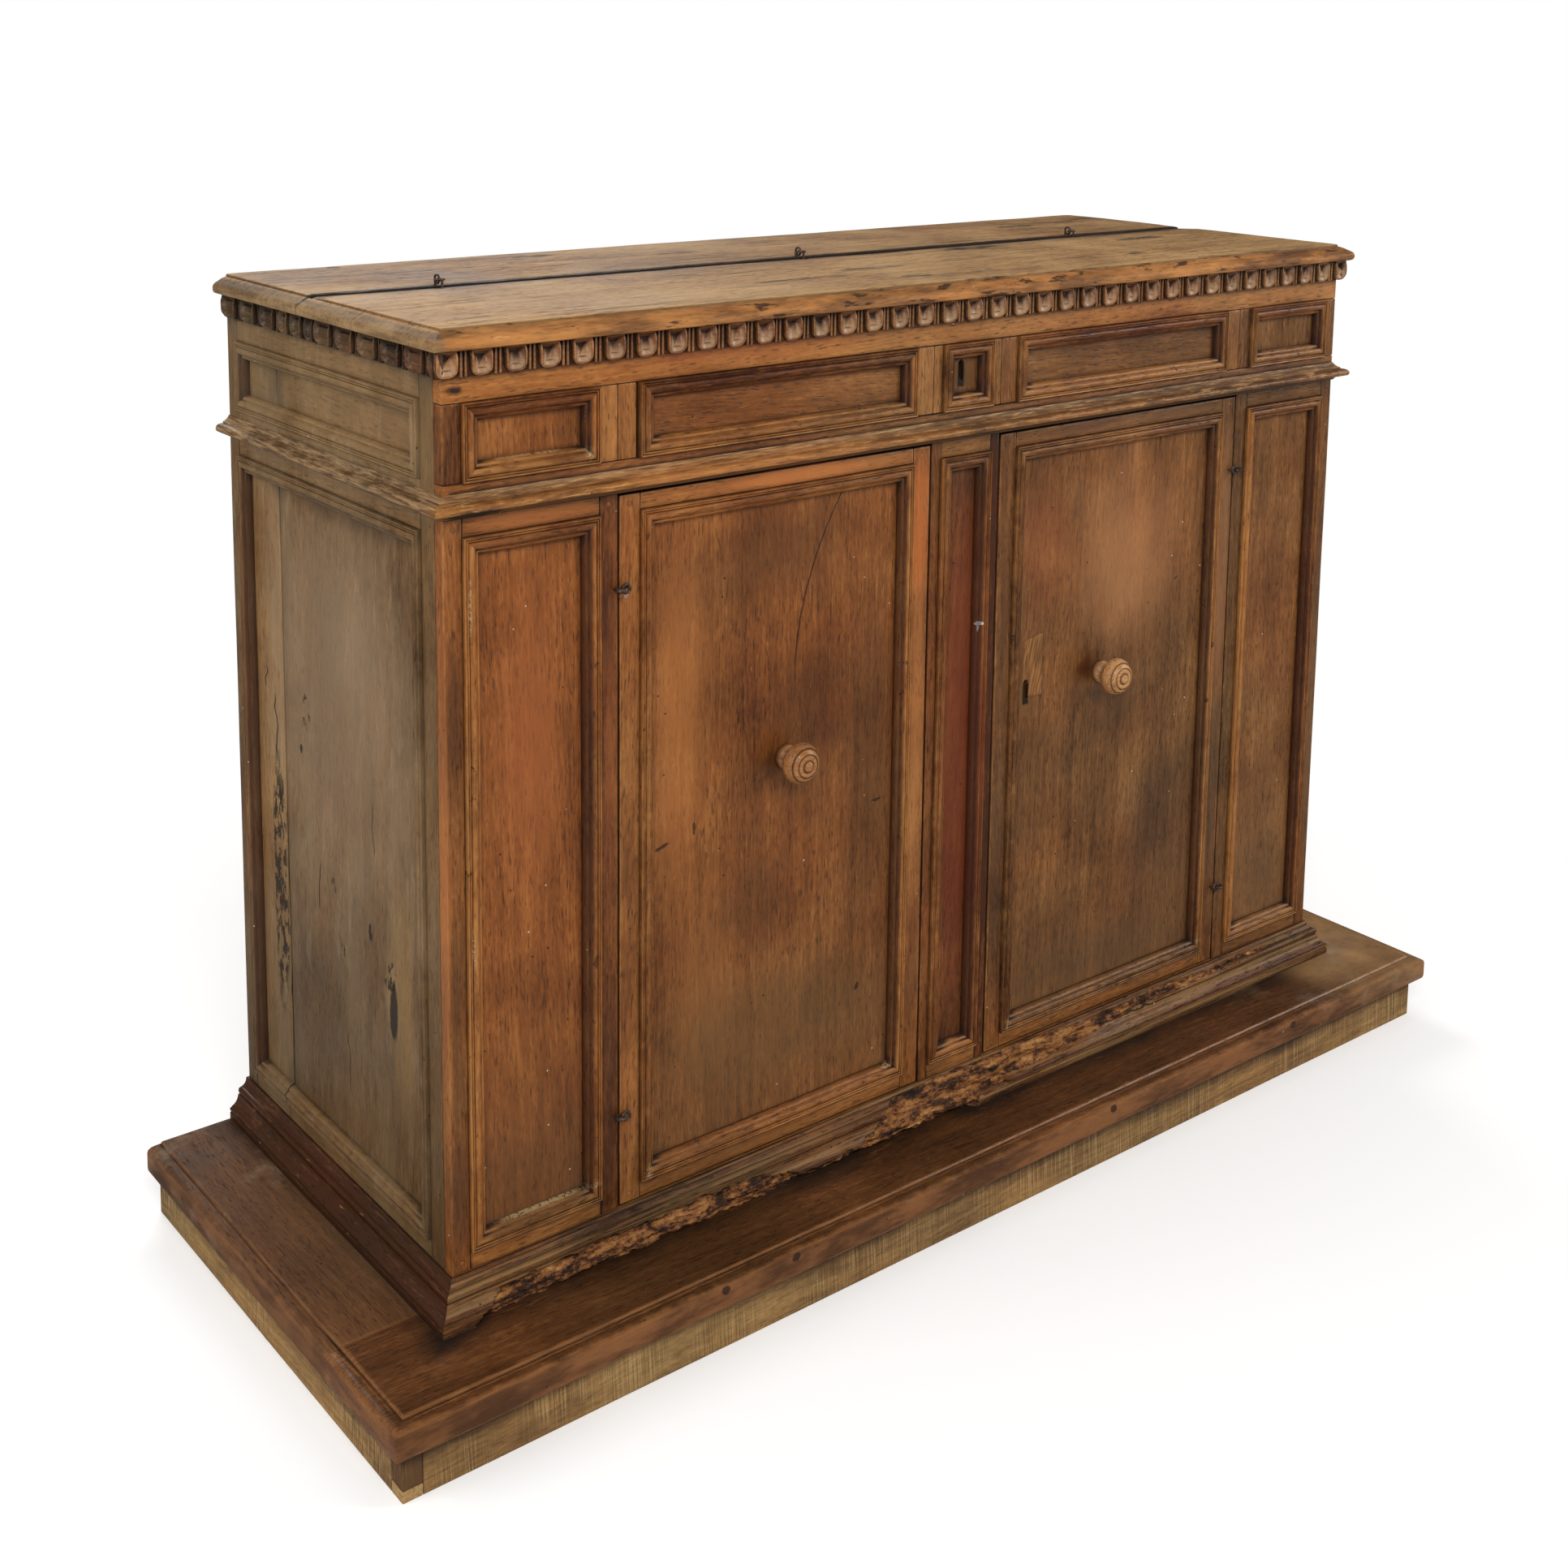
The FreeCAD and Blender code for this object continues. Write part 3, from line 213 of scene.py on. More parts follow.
ground = bmesh.new()
bmesh.ops.create_circle(ground, cap_ends=True, radius=14, segments=64)
mesh = bpy.data.meshes.new("stand_floor")
ground.to_mesh(mesh)
mesh.materials.append(stand_floor())
floor = bpy.data.objects.new("stand_floor", mesh)
bpy.context.collection.objects.link(floor)
floor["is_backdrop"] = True

room = bpy.data.worlds.new("white_room")
room.use_nodes = True
air = Finish.__new__(Finish)
air.tree = room.node_tree
air.tree.nodes.clear()
path = air.node("ShaderNodeLightPath").socket.node.outputs
mirrored = Tone(air, path["Is Glossy Ray"])
straight = Tone(air, path["Is Camera Ray"]).either(Tone(air, path["Is Transmission Ray"]))
shown = straight.either(mirrored * .12).either((1.0 - mirrored) * .40)
sky = air.node("ShaderNodeBackground", values={"Color": (1, 1, 1, 1), "Strength": shown})
air.node("ShaderNodeOutputWorld", values={"Surface": sky})
bpy.context.scene.world = room

for name, place, aim, power, width, tall in (
        ("lamp_front_left", (-2.3, -3.4, 3.5), (0, 0, .6), 120, 2.2, 1.6),
        ("lamp_front_right", (3.4, -2.6, 2.2), (0, 0, .6), 62, 2.0, 2.0),
        ("lamp_left", (-4.0, .5, 2.3), (-.8, 0, .6), 52, 2.0, 2.0),
        ("lamp_behind", (.8, 3.6, 3.2), (0, .2, .9), 60, 2.6, 1.4)):
    lamp = bpy.data.objects.new(name, bpy.data.lights.new(name, "AREA"))
    lamp.data.energy, lamp.data.shape, lamp.data.size, lamp.data.size_y = power, "RECTANGLE", width, tall
    lamp.location = place
    lamp.rotation_euler = (Vector(aim) - Vector(place)).to_track_quat("-Z", "Y").to_euler()
    bpy.context.collection.objects.link(lamp)

azimuth, elevation, roll = math.radians(-38.41), math.radians(8.548), math.radians(.687)
back = Vector((math.sin(azimuth) * math.cos(elevation), -math.cos(azimuth) * math.cos(elevation),
               math.sin(elevation)))
right = (-back).cross(Vector((0, 0, 1))).normalized()
up = right.cross(-back)
turned_right, turned_up = right * math.cos(roll) + up * math.sin(roll), up * math.cos(roll) - right * math.sin(roll)
camera = bpy.data.objects.new("camera", bpy.data.cameras.new("camera"))
camera.data.sensor_width, camera.data.lens, camera.data.shift_y = 36, 46.42, -.2913
camera.matrix_world = Matrix((turned_right, turned_up, back)).transposed().to_4x4()
camera.location = (-1.7376, -2.0239, 1.5123)
bpy.context.collection.objects.link(camera)
bpy.context.scene.camera = camera
bpy.context.scene.view_settings.view_transform = "Standard"


# The risers: rough pine boards on edge under the platform, saw-marked and pale,
# nailed at the corners. The left board's tail runs forward under a short corner post.

def block(low, high):
    """A plain block between two corners."""
    part = bmesh.new()
    bmesh.ops.create_cube(part, size=1)
    bmesh.ops.scale(part, vec=high - low, verts=part.verts)
    bmesh.ops.translate(part, vec=(low + high) / 2, verts=part.verts)
    return part


def points(geometry):
    return [g for g in geometry if isinstance(g, bmesh.types.BMVert)]


def cut_across(part, place, way):
    bmesh.ops.bisect_plane(part, geom=part.verts[:] + part.edges[:] + part.faces[:], dist=1e-5, plane_co=place,
                           plane_no=way)


class Bench:
    """A piece while it is made: its boards and mouldings, each marked with the run of its grain."""

    def __init__(self, name):
        self.name, self.chance, self.wood = name, random.Random(name), bmesh.new()
        self.wood.verts.layers.float_vector.new("grain")
        self.wood.verts.layers.float_vector.new("cast")
        self.wood.verts.layers.float.new("raw")

    def lay(self, part, along, middle, cast, flat=None):
        """Marks the grain on a part and lays it with the others. The cast is its lightness, warmth and wear."""
        grain, kind = part.verts.layers.float_vector.new("grain"), part.verts.layers.float_vector.new("cast")
        a = "xyz".index(along)
        b, c = [n for n in (0, 1, 2) if n != a]
        if flat is not None and "xyz".index(flat) == b:
            b, c = c, b
        chance = self.chance
        start, aside = chance.uniform(0, 40), chance.uniform(-.05, .05)
        deep = chance.choice((-1, 1)) * chance.uniform(.015, .05)
        lean, dive = chance.uniform(-.05, .05), chance.uniform(-.03, .03)
        shade = Vector(cast) + Vector((chance.uniform(-.22, .22), chance.uniform(-.12, .12), 0))
        for v in part.verts:
            run = v.co[a] - middle[a]
            v[grain] = (start + run, v.co[b] - middle[b] + aside + lean * run,
                        v.co[c] - middle[c] + deep + dive * run)
            v[kind] = shade
        mesh = bpy.data.meshes.new("part")
        part.to_mesh(mesh)
        part.free()
        self.wood.from_mesh(mesh)
        bpy.data.meshes.remove(mesh)

    def board(self, low, high, along, cast=(0, .5, .5), arris=.0014, bands=(.004, .010), every=.08, shape=None):
        """A planed board: its arrises eased, with rings of points near its edges, where it wears."""
        low, high = Vector(low), Vector(high)
        part = block(low, high)
        bmesh.ops.bevel(part, geom=part.edges[:], offset=arris, offset_type="OFFSET", segments=2, profile=.5,
                        affect="EDGES", material=-1, clamp_overlap=True)
        broad = [f for f in part.faces if min(e.calc_length() for e in f.edges) > arris * 3 and len(f.verts) == 4]
        for band in bands:
            broad = [f for f in broad if min(e.calc_length() for e in f.edges) > band * 3]
            bmesh.ops.inset_individual(part, faces=broad, thickness=band, use_even_offset=True)
        self.saw(part, low, high, every)
        if shape:
            shape(part)
        flat = "xyz"[[*(high - low)].index(min(high - low))]
        self.lay(part, along, (low + high) / 2, cast, flat)

    def saw(self, part, low, high, every):
        """Cuts a part across at even steps, so that it can bend and take wear."""
        steps = every if isinstance(every, tuple) else (every,) * 3
        for axis in range(3):
            across = Vector([float(axis == n) for n in range(3)])
            pieces = round((high[axis] - low[axis]) / steps[axis])
            for cut in range(1, pieces):
                cut_across(part, across * (low[axis] + (high[axis] - low[axis]) * cut / pieces), across)

    def run(self, profile, start, end, out, up, ends=(0, 0), cast=(0, .5, .5), every=.035, shape=None):
        """A length of moulding: its profile pushed from start to end. An end of 1 is mitred outwards, -1 inwards."""
        start, end, out, up = Vector(start), Vector(end), Vector(out), Vector(up)
        way = (end - start).normalized()
        part = bmesh.new()
        part.verts.layers.float.new("raw")
        near = [part.verts.new(start + out * o + up * u - way * ends[0] * o) for o, u in profile]
        face = part.faces.new(near)
        pushed = bmesh.ops.extrude_face_region(part, geom=[face], use_keep_orig=True)["geom"]
        for v in points(pushed):
            o = (v.co - start).dot(out)
            v.co += (end - start) + way * (ends[0] + ends[1]) * o
        bmesh.ops.recalc_face_normals(part, faces=part.faces)
        if part.calc_volume(signed=True) < 0:
            bmesh.ops.reverse_faces(part, faces=part.faces[:])
        pieces = max(2, round((end - start).length / every))
        for cut in range(1, pieces):
            cut_across(part, start.lerp(end, cut / pieces), way)
        if shape:
            shape(part)
        along = "xyz"[[abs(n) > .7 for n in way].index(True)]
        self.lay(part, along, (start + end) / 2, cast)

    def done(self, body, slot, finish, *nodes, sag=.0005):
        """Takes the piece off the bench, a little uneven from age, and fixes it to its body."""
        for v in self.wood.verts:
            v.co += noise.noise_vector(v.co * 5.5) * sag
        mesh = bpy.data.meshes.new(self.name)
        self.wood.to_mesh(mesh)
        self.wood.free()
        mesh.materials.append(finish)
        for face in mesh.polygons:
            face.use_smooth = True
        mesh.set_sharp_from_angle(angle=math.radians(38))
        piece = bpy.data.objects.new(self.name, mesh)
        bpy.context.collection.objects.link(piece)
        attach(piece, body)
        if nodes:
            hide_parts(*nodes)
        return piece


def timber(name, olive, warm, worn, dirt_and_shade, grain=1.0, pores=.55, gloss=.46, bump=.5, carried=None, marks=None):
    """Old timber. Olive and warm are each its dark, middle and light colours, and the cast of a board chooses
    between them. Carried turns the grain of a solid that has none written on its points."""
    wood = Finish(name)
    if carried:
        run = wood.node("ShaderNodeMapping", {"vector_type": "POINT"},
                        {"Vector": wood.where, "Rotation": carried, "Location": (.3, .07, .045)})
        light, warmth, wears, wear, grime = 0.0, .4, .4, 0.0, .12
    else:
        run = wood.kept("grain", "Vector")
        light, warmth, wears = wood.parts(wood.kept("cast", "Vector"))
        wear, grime = wood.kept("wear"), wood.kept("grime")
    x, y, z = wood.parts(run)
    ring = (y * y + z * z).sum("SQRT") + wood.cloud((2.4, 9, 9), 2, at=run) * .045
    rings = wood.cloud(1, 2, .55, at=wood.point(x * .9, ring * 120, z * 3))
    fibre = wood.cloud((19, 360, 360), 3, .6, at=run)
    drift = wood.cloud((4, 17, 17), 3, .55, shift=6, at=run)
    mottle = wood.cloud(6.5, 4, .6, .4)
    fleck = wood.cloud((75, 240, 240), 2, .7, shift=3, at=run)
    depth = ((rings - .5) * (.46 * grain) + (fibre - .5) * .50 + (drift - .5) * .52 + (mottle - .5) * .66
             + (fleck - .5) * .44 + light * .5 + .5)
    wood.shade = wood.blend(wood.cloud(2.7, 3, .6).over(.3, .7) * .5 + warmth - .25,
                            *(wood.ramp(depth, zip((.10, .5, .90), chart)) for chart in (olive, warm)))
    pore = wood.cloud((60, 430, 430), 1, shift=9, at=run).over(.60, .72)
    wood.stain(pore * pores, dirt_and_shade)
    rub = wood.cloud(46, 4, .65)
    bare = ((rub - .5) * 1.1 + (mottle - .5) * .6 + wear * wears * 1.1 - .42).over(.05, .6)
    wood.stain(bare * .5, wood.blend(fibre.over(.35, .65), paint(*[c * .82 for c in worn]), paint(*worn)))
    scrape = (wood.cloud((34, 260, 260), 1, .4, .8, shift=5, at=run).over(.72, .78)
              * wood.cloud(5, 1).over(.52, .62))
    wood.stain(scrape * .35, worn)
    cell = wood.node("ShaderNodeTexVoronoi", {"feature": "F1"}, {"Vector": wood.where, "Scale": 46})
    pick, size, kind = wood.parts(Tone(wood, cell.socket.node.outputs["Color"]))
    speck = (cell - size * .040 - .016).over(.016, 0) * pick.over(.44, .46)
    chip, pit = speck * kind.over(.66, .68), speck * kind.over(.66, .64)
    # The grime mask says how sheltered each point is, so the dark colour laid from it is settled grime and also
    # painted occlusion shade in recesses, under overhangs and between parts; the same colour darkens the pores as
    # dirt.
    soil_and_shade = (grime * 1.45 + (wood.cloud(21, 3, .6) - .5) * .8 * (grime + .12)).over(.12, 1.05)
    wood.stain(soil_and_shade * .92, dirt_and_shade)
    wood.dull = (mottle - .5) * .35 + pore * .15 + soil_and_shade * .30 - bare * .06 + gloss + (fibre - .5) * .2
    wood.relief = ((rings - .5) * .3 + (fibre - .5) * .45 - pore * .8 - pit * 3 - chip * 1.5 + (rub - .5) * .45
                   - scrape * .8)
    if marks:
        marks(wood)
    wood.stain(pit * .85, (22, 14, 9))
    wood.stain(chip * .75, (206, 186, 160))
    uneven = wood.node("ShaderNodeBump", values={"Height": wood.relief, "Distance": .0009, "Strength": bump})
    return wood.close(wood.node("ShaderNodeBsdfPrincipled", values={
        "Base Color": wood.shade, "Roughness": wood.dull.both(.9).either(.22), "Normal": uneven,
        "Specular IOR Level": .28}))


def saw_marks(wood):
    """Close upright saw marks, and damp stains that rise from the floor."""
    x, y, z = wood.place
    kerf = wood.cloud(1, 1, at=wood.point(x * 520 + z * 30, y * 520, z * 9))
    cut = wood.cloud(9, 3, .6).over(.35, .62)
    wood.stain(kerf.over(.48, .60) * cut * .60, (98, 72, 42))
    wood.stain(kerf.over(.46, .36) * cut * .30, (206, 176, 124))
    stain = (wood.cloud((5, 5, 9), 4, .65) * 1.2 + (z - .034) * 26 - .30).over(.2, .9)
    wood.stain(stain * .86, (58, 39, 24))
    spread = wood.stretched(wood.where, 4.1, 4.1, 9)
    knot = wood.node("ShaderNodeTexVoronoi", {"feature": "F1"}, {"Vector": spread, "Scale": 1})
    knot = (knot + (wood.cloud(40, 2) - .5) * .08).over(.13, .05)
    wood.stain(knot * .8, (74, 44, 26))
    wood.relief += (kerf - .5) * 1.8
    wood.dull += .12


RAW = dict(olive=((92, 68, 38), (150, 120, 74), (192, 160, 106)), warm=((98, 62, 34), (156, 110, 60), (198, 150, 94)),
           worn=(206, 180, 140), dirt_and_shade=(44, 30, 20))
raw_pine = timber("raw_pine", **RAW, grain=1.2, pores=.2, gloss=.66, bump=.7, marks=saw_marks)
RISER_TOP, REAR = .059, .334  # where the risers end, and the back of the whole credenza
riser = Bench("platform_front_riser_board")
riser.board((-.844, -.319, 0), (.868, -.295, RISER_TOP), "x", (-.1, .35, .4))
riser.done("carcase", "raw_pine", raw_pine, "platform_front_riser")
post = Bench("platform_corner_post_block")
post.board((-.868, -.319, .014), (-.844, -.295, RISER_TOP), "z", (-.9, .6, .2), bands=(.004,))
post.done("carcase", "raw_pine", raw_pine, "platform_corner_post")
for name, x, tail, node in (("platform_left_riser_board", -.868, -.319, "platform_left_riser"),
                            ("platform_right_riser_board", .844, None, "platform_right_riser")):
    riser = Bench(name)
    riser.board((x, -.295, 0), (x + .024, REAR, RISER_TOP), "y", (.1, .3, .4))
    if tail:
        riser.board((x, tail, 0), (x + .024, -.295, .014), "y", (.3, .5, .6), bands=())
    riser.done("carcase", "raw_pine", raw_pine, node)


# The platform: broad dark walnut boards, polished by feet and mops, with a worked
# nosing, a fine quirk above it, and cut nails in pairs along the joints.

def slab(bench, low, high, steps, sides, along, cast, every=.06, shape=None):
    """A board with a worked edge: steps are (set in, height) pairs, and sides says which of -x, x, -y, y are
    worked."""
    part, middle = bmesh.new(), (Vector(low) + Vector(high)) / 2

    def corners(inset, height):
        left, right = low[0] + inset * sides[0], high[0] - inset * sides[1]
        front, rear = low[1] + inset * sides[2], high[1] - inset * sides[3]
        return [(left, front, height), (right, front, height), (right, rear, height), (left, rear, height)]

    def bearing(place):
        return math.atan2(place[1] - middle.y, place[0] - middle.x)

    top = part.faces.new([part.verts.new(c) for c in corners(*steps[0])])
    bmesh.ops.duplicate(part, geom=[top])
    for inset, height in steps[1:]:
        grown = bmesh.ops.extrude_face_region(part, geom=[top])["geom"]
        bmesh.ops.delete(part, geom=[top], context="FACES_ONLY")
        top = [g for g in grown if isinstance(g, bmesh.types.BMFace)][0]
        for v, c in zip(sorted(top.verts, key=lambda v: bearing(v.co)), sorted(corners(inset, height), key=bearing)):
            v.co = c
    bmesh.ops.remove_doubles(part, verts=part.verts, dist=1e-6)
    for band in (.006, .014):
        bmesh.ops.inset_individual(part, faces=[top], thickness=band, use_even_offset=True)
    bench.saw(part, Vector(low), Vector(high), every)
    bmesh.ops.recalc_face_normals(part, faces=part.faces)
    if shape:
        shape(part)
    bench.lay(part, along, middle, cast, "z")


def boot_marks(wood):
    """Scuffs that follow the front edge, and the nails that hold the boards to their joists."""
    x, y, z = wood.place
    scuff = wood.cloud((14, 55, 14), 4, .7).over(.60, .74)
    wood.stain(scuff * .32, (150, 92, 54))
    nose = (z.over(.0905, .0880) * z.over(.0600, .0640)
            * y.over(-.3300, -.3325).either(x.over(-.8790, -.8815)).either(x.over(.8790, .8815)))
    rub_and_highlight = wood.cloud((7, 7, 26), 4, .65)
    wood.stain(nose * .75, wood.blend(rub_and_highlight.over(.38, .62), paint(82, 50, 28), paint(142, 92, 52)))
    for across in (-.465, -.362, .180, .560):
        knock = wood.patch((across, 0, .0840), (.0070, 0, .0065), .4) * nose
        wood.stain(knock * .85, (44, 26, 18))
        wood.relief -= knock * 2
    dusty = wood.patch((-.80, .05, .095), (.10, .34, .05), .9)
    wood.stain(dusty * rub_and_highlight.over(.30, .62) * .2 * z.over(.090, .094), (134, 100, 68))
    trodden = wood.patch((.79, -.22, .095), (.17, .28, .05), .8)
    wood.stain(trodden * (rub_and_highlight.over(.30, .60) * .5 + .45), (178, 136, 88))
    unpolished = x.over(-.670, -.700) * y.over(-.180, -.165)
    wood.stain(unpolished * .30, (46, 32, 18))
    dust = wood.cloud(14, 4, .7).over(.5, .8)
    back_edge = (y.over(-.1, .3)).either(x.over(.3, .9))
    wood.stain(dust * back_edge * .6, (150, 128, 104))
    wood.relief += (scuff - .5) * .3
    wood.dull += dust * .1 - .06 + unpolished * .34


PLATFORM = dict(olive=((44, 29, 15), (88, 58, 32), (126, 90, 54)), warm=((48, 25, 12), (92, 53, 27), (138, 86, 45)),
                worn=(164, 110, 64), dirt_and_shade=(22, 13, 7))
platform_walnut = timber("platform_walnut", **PLATFORM, pores=.5, gloss=.36, bump=.45, marks=boot_marks)
NOSE = ((.005, .059), (.0015, .0605), (.0002, .064), (0, .069), (0, .086), (.0012, .0895), (.005, .0918),
        (.011, .0927), (.0158, .0925), (.0165, .0915), (.0178, .0915), (.0185, .0938), (.020, .0950))
DECK = .095  # the upper side of the platform
deck = Bench("platform_front_board_nosed")
slab(deck, (-.883, -.334, RISER_TOP), (.883, -.174, DECK), NOSE, (1, 1, 1, 0), "x", (0, .6, .9))
deck.done("carcase", "platform_walnut", platform_walnut, "platform_front_board")
for node, left, right, sides in (("platform_left_board", -.883, -.685, (1, 0, 0, 0)),
                                 ("platform_right_board", .685, .883, (0, 1, 0, 0))):
    deck = Bench(node + "_nosed")
    slab(deck, (left, -.1735, RISER_TOP), (right, REAR, DECK), NOSE, sides, "y", (.1, .5, .8))
    deck.done("carcase", "platform_walnut", platform_walnut, node)


# The plinth moulding: walnut lengths mitred round the foot of the carcase. Worm has
# eaten the lower half of the front length away, down to pale crumbling wood.

PLINTH = [(0, 0), (.0268, 0), (.027, .001), (.027, .0035), (.027, .006), (.027, .0085), (.0258, .0093),
          (.0258, .0107), (.027, .0115), (.027, .0145), (.0252, .0152), (.0243, .0165), (.0215, .0180),
          (.0190, .0205), (.0170, .0240), (.0158, .0275), (.0152, .0302), (.0136, .0304), (.0135, .0317),
          (.0146, .0325), (.0150, .0345), (.0146, .0368), (.0134, .0384), (.0115, .0391), (.0095, .0394),
          (.0092, .0402), (.0072, .0412), (.0055, .0432), (.0045, .0455), (.0040, .0482), (.0038, .0490),
          (.0030, .0500), (0, .0500)]

WALNUT = dict(olive=((52, 33, 16), (108, 75, 39), (154, 114, 66)), warm=((72, 34, 12), (136, 77, 32), (186, 118, 54)),
              worn=(190, 130, 70), dirt_and_shade=(28, 16, 8))


def painted_slope_shade(wood):
    """Painted shade: the marked inner slope of one length in each moulding ring, the right-hand length on the front
    and the rear length on the sides, is darkened deep red-brown.
    """
    wood.stain(wood.kept("raw") * .72, (50, 23, 10))


def chipped(wood):
    """Pale breaks at the lower mitres, bruises along the runs, and painted highlights along two foot mouldings."""
    x, y, z = wood.place
    crumbs = wood.cloud(260, 3, .7)
    for across, up, wide, tall in ((-.486, .178, .006, .016), (-.564, .188, .016, .006), (-.110, .187, .014, .005),
                                   (.028, .187, .006, .016), (.101, .180, .006, .014), (.489, .187, .010, .006),
                                   (-.716, .900, .003, .060), (-.716, .520, .003, .030), (-.566, 1.048, .008, .010),
                                   (.729, .200, .006, .040)):
        broken = wood.patch((across, 0, up), (wide, 0, tall), .7) * crumbs.over(.40, .62)
        wood.stain(broken * .7, (190, 158, 112))
        wood.relief += broken * 2
    bruise = wood.cloud((60, 60, 60), 3, .7, shift=7).over(.66, .74)
    # Painted highlights: pale broken lines along the inner round of the left fixed panel's and the left frieze
    # panel's foot mouldings, which face up to the lamps.
    for across, half, up, thick, start, amount, colour in ((-.630, .075, .1868, .0026, .38, .7, (190, 164, 118)),
                                                           (-.640, .060, 1.0555, .0022, .40, .6, (190, 150, 104))):
        level = (x - across).within(0, half).over(0, .6) * (z - up).within(0, thick)
        wood.stain(level * crumbs.over(start, .5) * amount, colour)
    wood.stain(bruise * .7, (36, 22, 12))
    wood.relief -= bruise * 1.5
    # painted shade on the marked inner moulding slopes
    painted_slope_shade(wood)


moulding_walnut = timber("moulding_walnut", **WALNUT, pores=.6, gloss=.38, bump=.5, marks=chipped)


SIDE, FRONT = .745, -.206  # half the width of the carcase, and its face
BITES = ((-.745, .080, .086), (-.715, .080, .104), (-.690, .080, .119), (-.520, .080, .125), (-.340, .080, .121),
         (-.280, .080, .108), (-.150, .080, .110), (-.105, .080, .141), (.000, .080, .144), (.040, .110, .143),
         (.180, .115, .141), (.240, .122, .137), (.400, .129, .138), (.600, .134, .136), (.745, .136, .136))


def eaten(part):
    """Eats the front of the moulding back in ragged hollows. The bites say from where to where, up the moulding,
    along its length."""
    for v in part.verts:
        x, y, z = v.co
        before, after = [(a, b) for a, b in zip(BITES, BITES[1:]) if x <= b[0] or b is BITES[-1]][0]
        part_way = min(1, max(0, (x - before[0]) / (after[0] - before[0])))
        low, high = (before[n] + (after[n] - before[n]) * part_way for n in (1, 2))
        ragged = (.006 * noise.noise((x * 11, 2, 0)) + .004 * noise.noise((x * 47, 5, 0))
                  + .002 * noise.noise((x * 140, 8, 0)))
        deep = min(1, max(0, (high + ragged - z) / .003 + .5)) * min(1, max(0, (z - low - ragged) / .003 + .5))
        rough = (.0085 + .008 * noise.noise((x * 17, 7, z * 60)) + .005 * noise.noise((x * 60, 3, z * 150))
                 + .0026 * noise.noise((x * 170, 1, z * 260)) + (.005 if z < .100 else 0))
        if y < -.2085:
            v.co.y = min(-.2085, y + deep * max(0, rough) * min(1, (FRONT - y) / .018))
            v[part.verts.layers.float["raw"]] = deep


def worm_eaten(wood):
    """Pale crumbs and dark galleries where the worm has been, grey-green bloom on the sound wood beside them,
    and painted shade in the quirks of the profile.
    """
    x, y, z = wood.place
    raw = wood.kept("raw")
    broad = wood.cloud((13, 13, 60), 3, .6)
    fibres = wood.cloud((26, 60, 120), 5, .74, shift=3)
    crumbs = wood.cloud((130, 130, 180), 3, .7)
    wood.stain(wood.cloud((3, 3, 200), 3, .6).over(.44, .60) * .50, (156, 122, 76))
    # Painted shade: dark lines at four heights along the profile, in its quirks and steps.
    for level in (.1104, .1258, .1348, .1412):
        wood.stain((z - level).within(0, .0011) * .8, (24, 14, 8))
    gnawed = wood.ramp(fibres * .50 + crumbs * .22 + broad * .26, (
        (.40, (26, 15, 9)), (.46, (64, 37, 19)), (.50, (124, 76, 38)), (.58, (168, 118, 64)), (.67, (222, 180, 124))))
    amount = (raw + (broad - .5) * .9 + (fibres - .5) * .6).over(.42, .52)
    wood.stain(amount, gnawed)
    wood.relief += (fibres + crumbs * .6) * amount * 3.5
    wood.dull += amount * .3


base = Bench("plinth_front_moulding")
base.run(PLINTH, (-SIDE, FRONT, DECK), (SIDE, FRONT, DECK), (0, -1, 0), (0, 0, 1), (1, 1), (-.75, .35, .3),
         every=.0045, shape=eaten)
plinth_walnut = timber("plinth_walnut", **WALNUT, pores=.6, gloss=.46, bump=.8, marks=worm_eaten)
base.done("carcase", "moulding_walnut", plinth_walnut, "plinth_front")
base = Bench("plinth_return_mouldings")
base.run(PLINTH, (-SIDE, REAR, DECK), (-SIDE, FRONT, DECK), (-1, 0, 0), (0, 0, 1), (0, 1), (-.9, .3, .3))
base.run(PLINTH, (SIDE, FRONT, DECK), (SIDE, REAR, DECK), (1, 0, 0), (0, 0, 1), (1, 0), (-.6, .1, .4))
base.done("carcase", "moulding_walnut", moulding_walnut, "plinth_returns")


# The front frame: walnut rails and uprights, pegged together, 18 mm thick. Hands
# have worn their edges to a lighter brown.

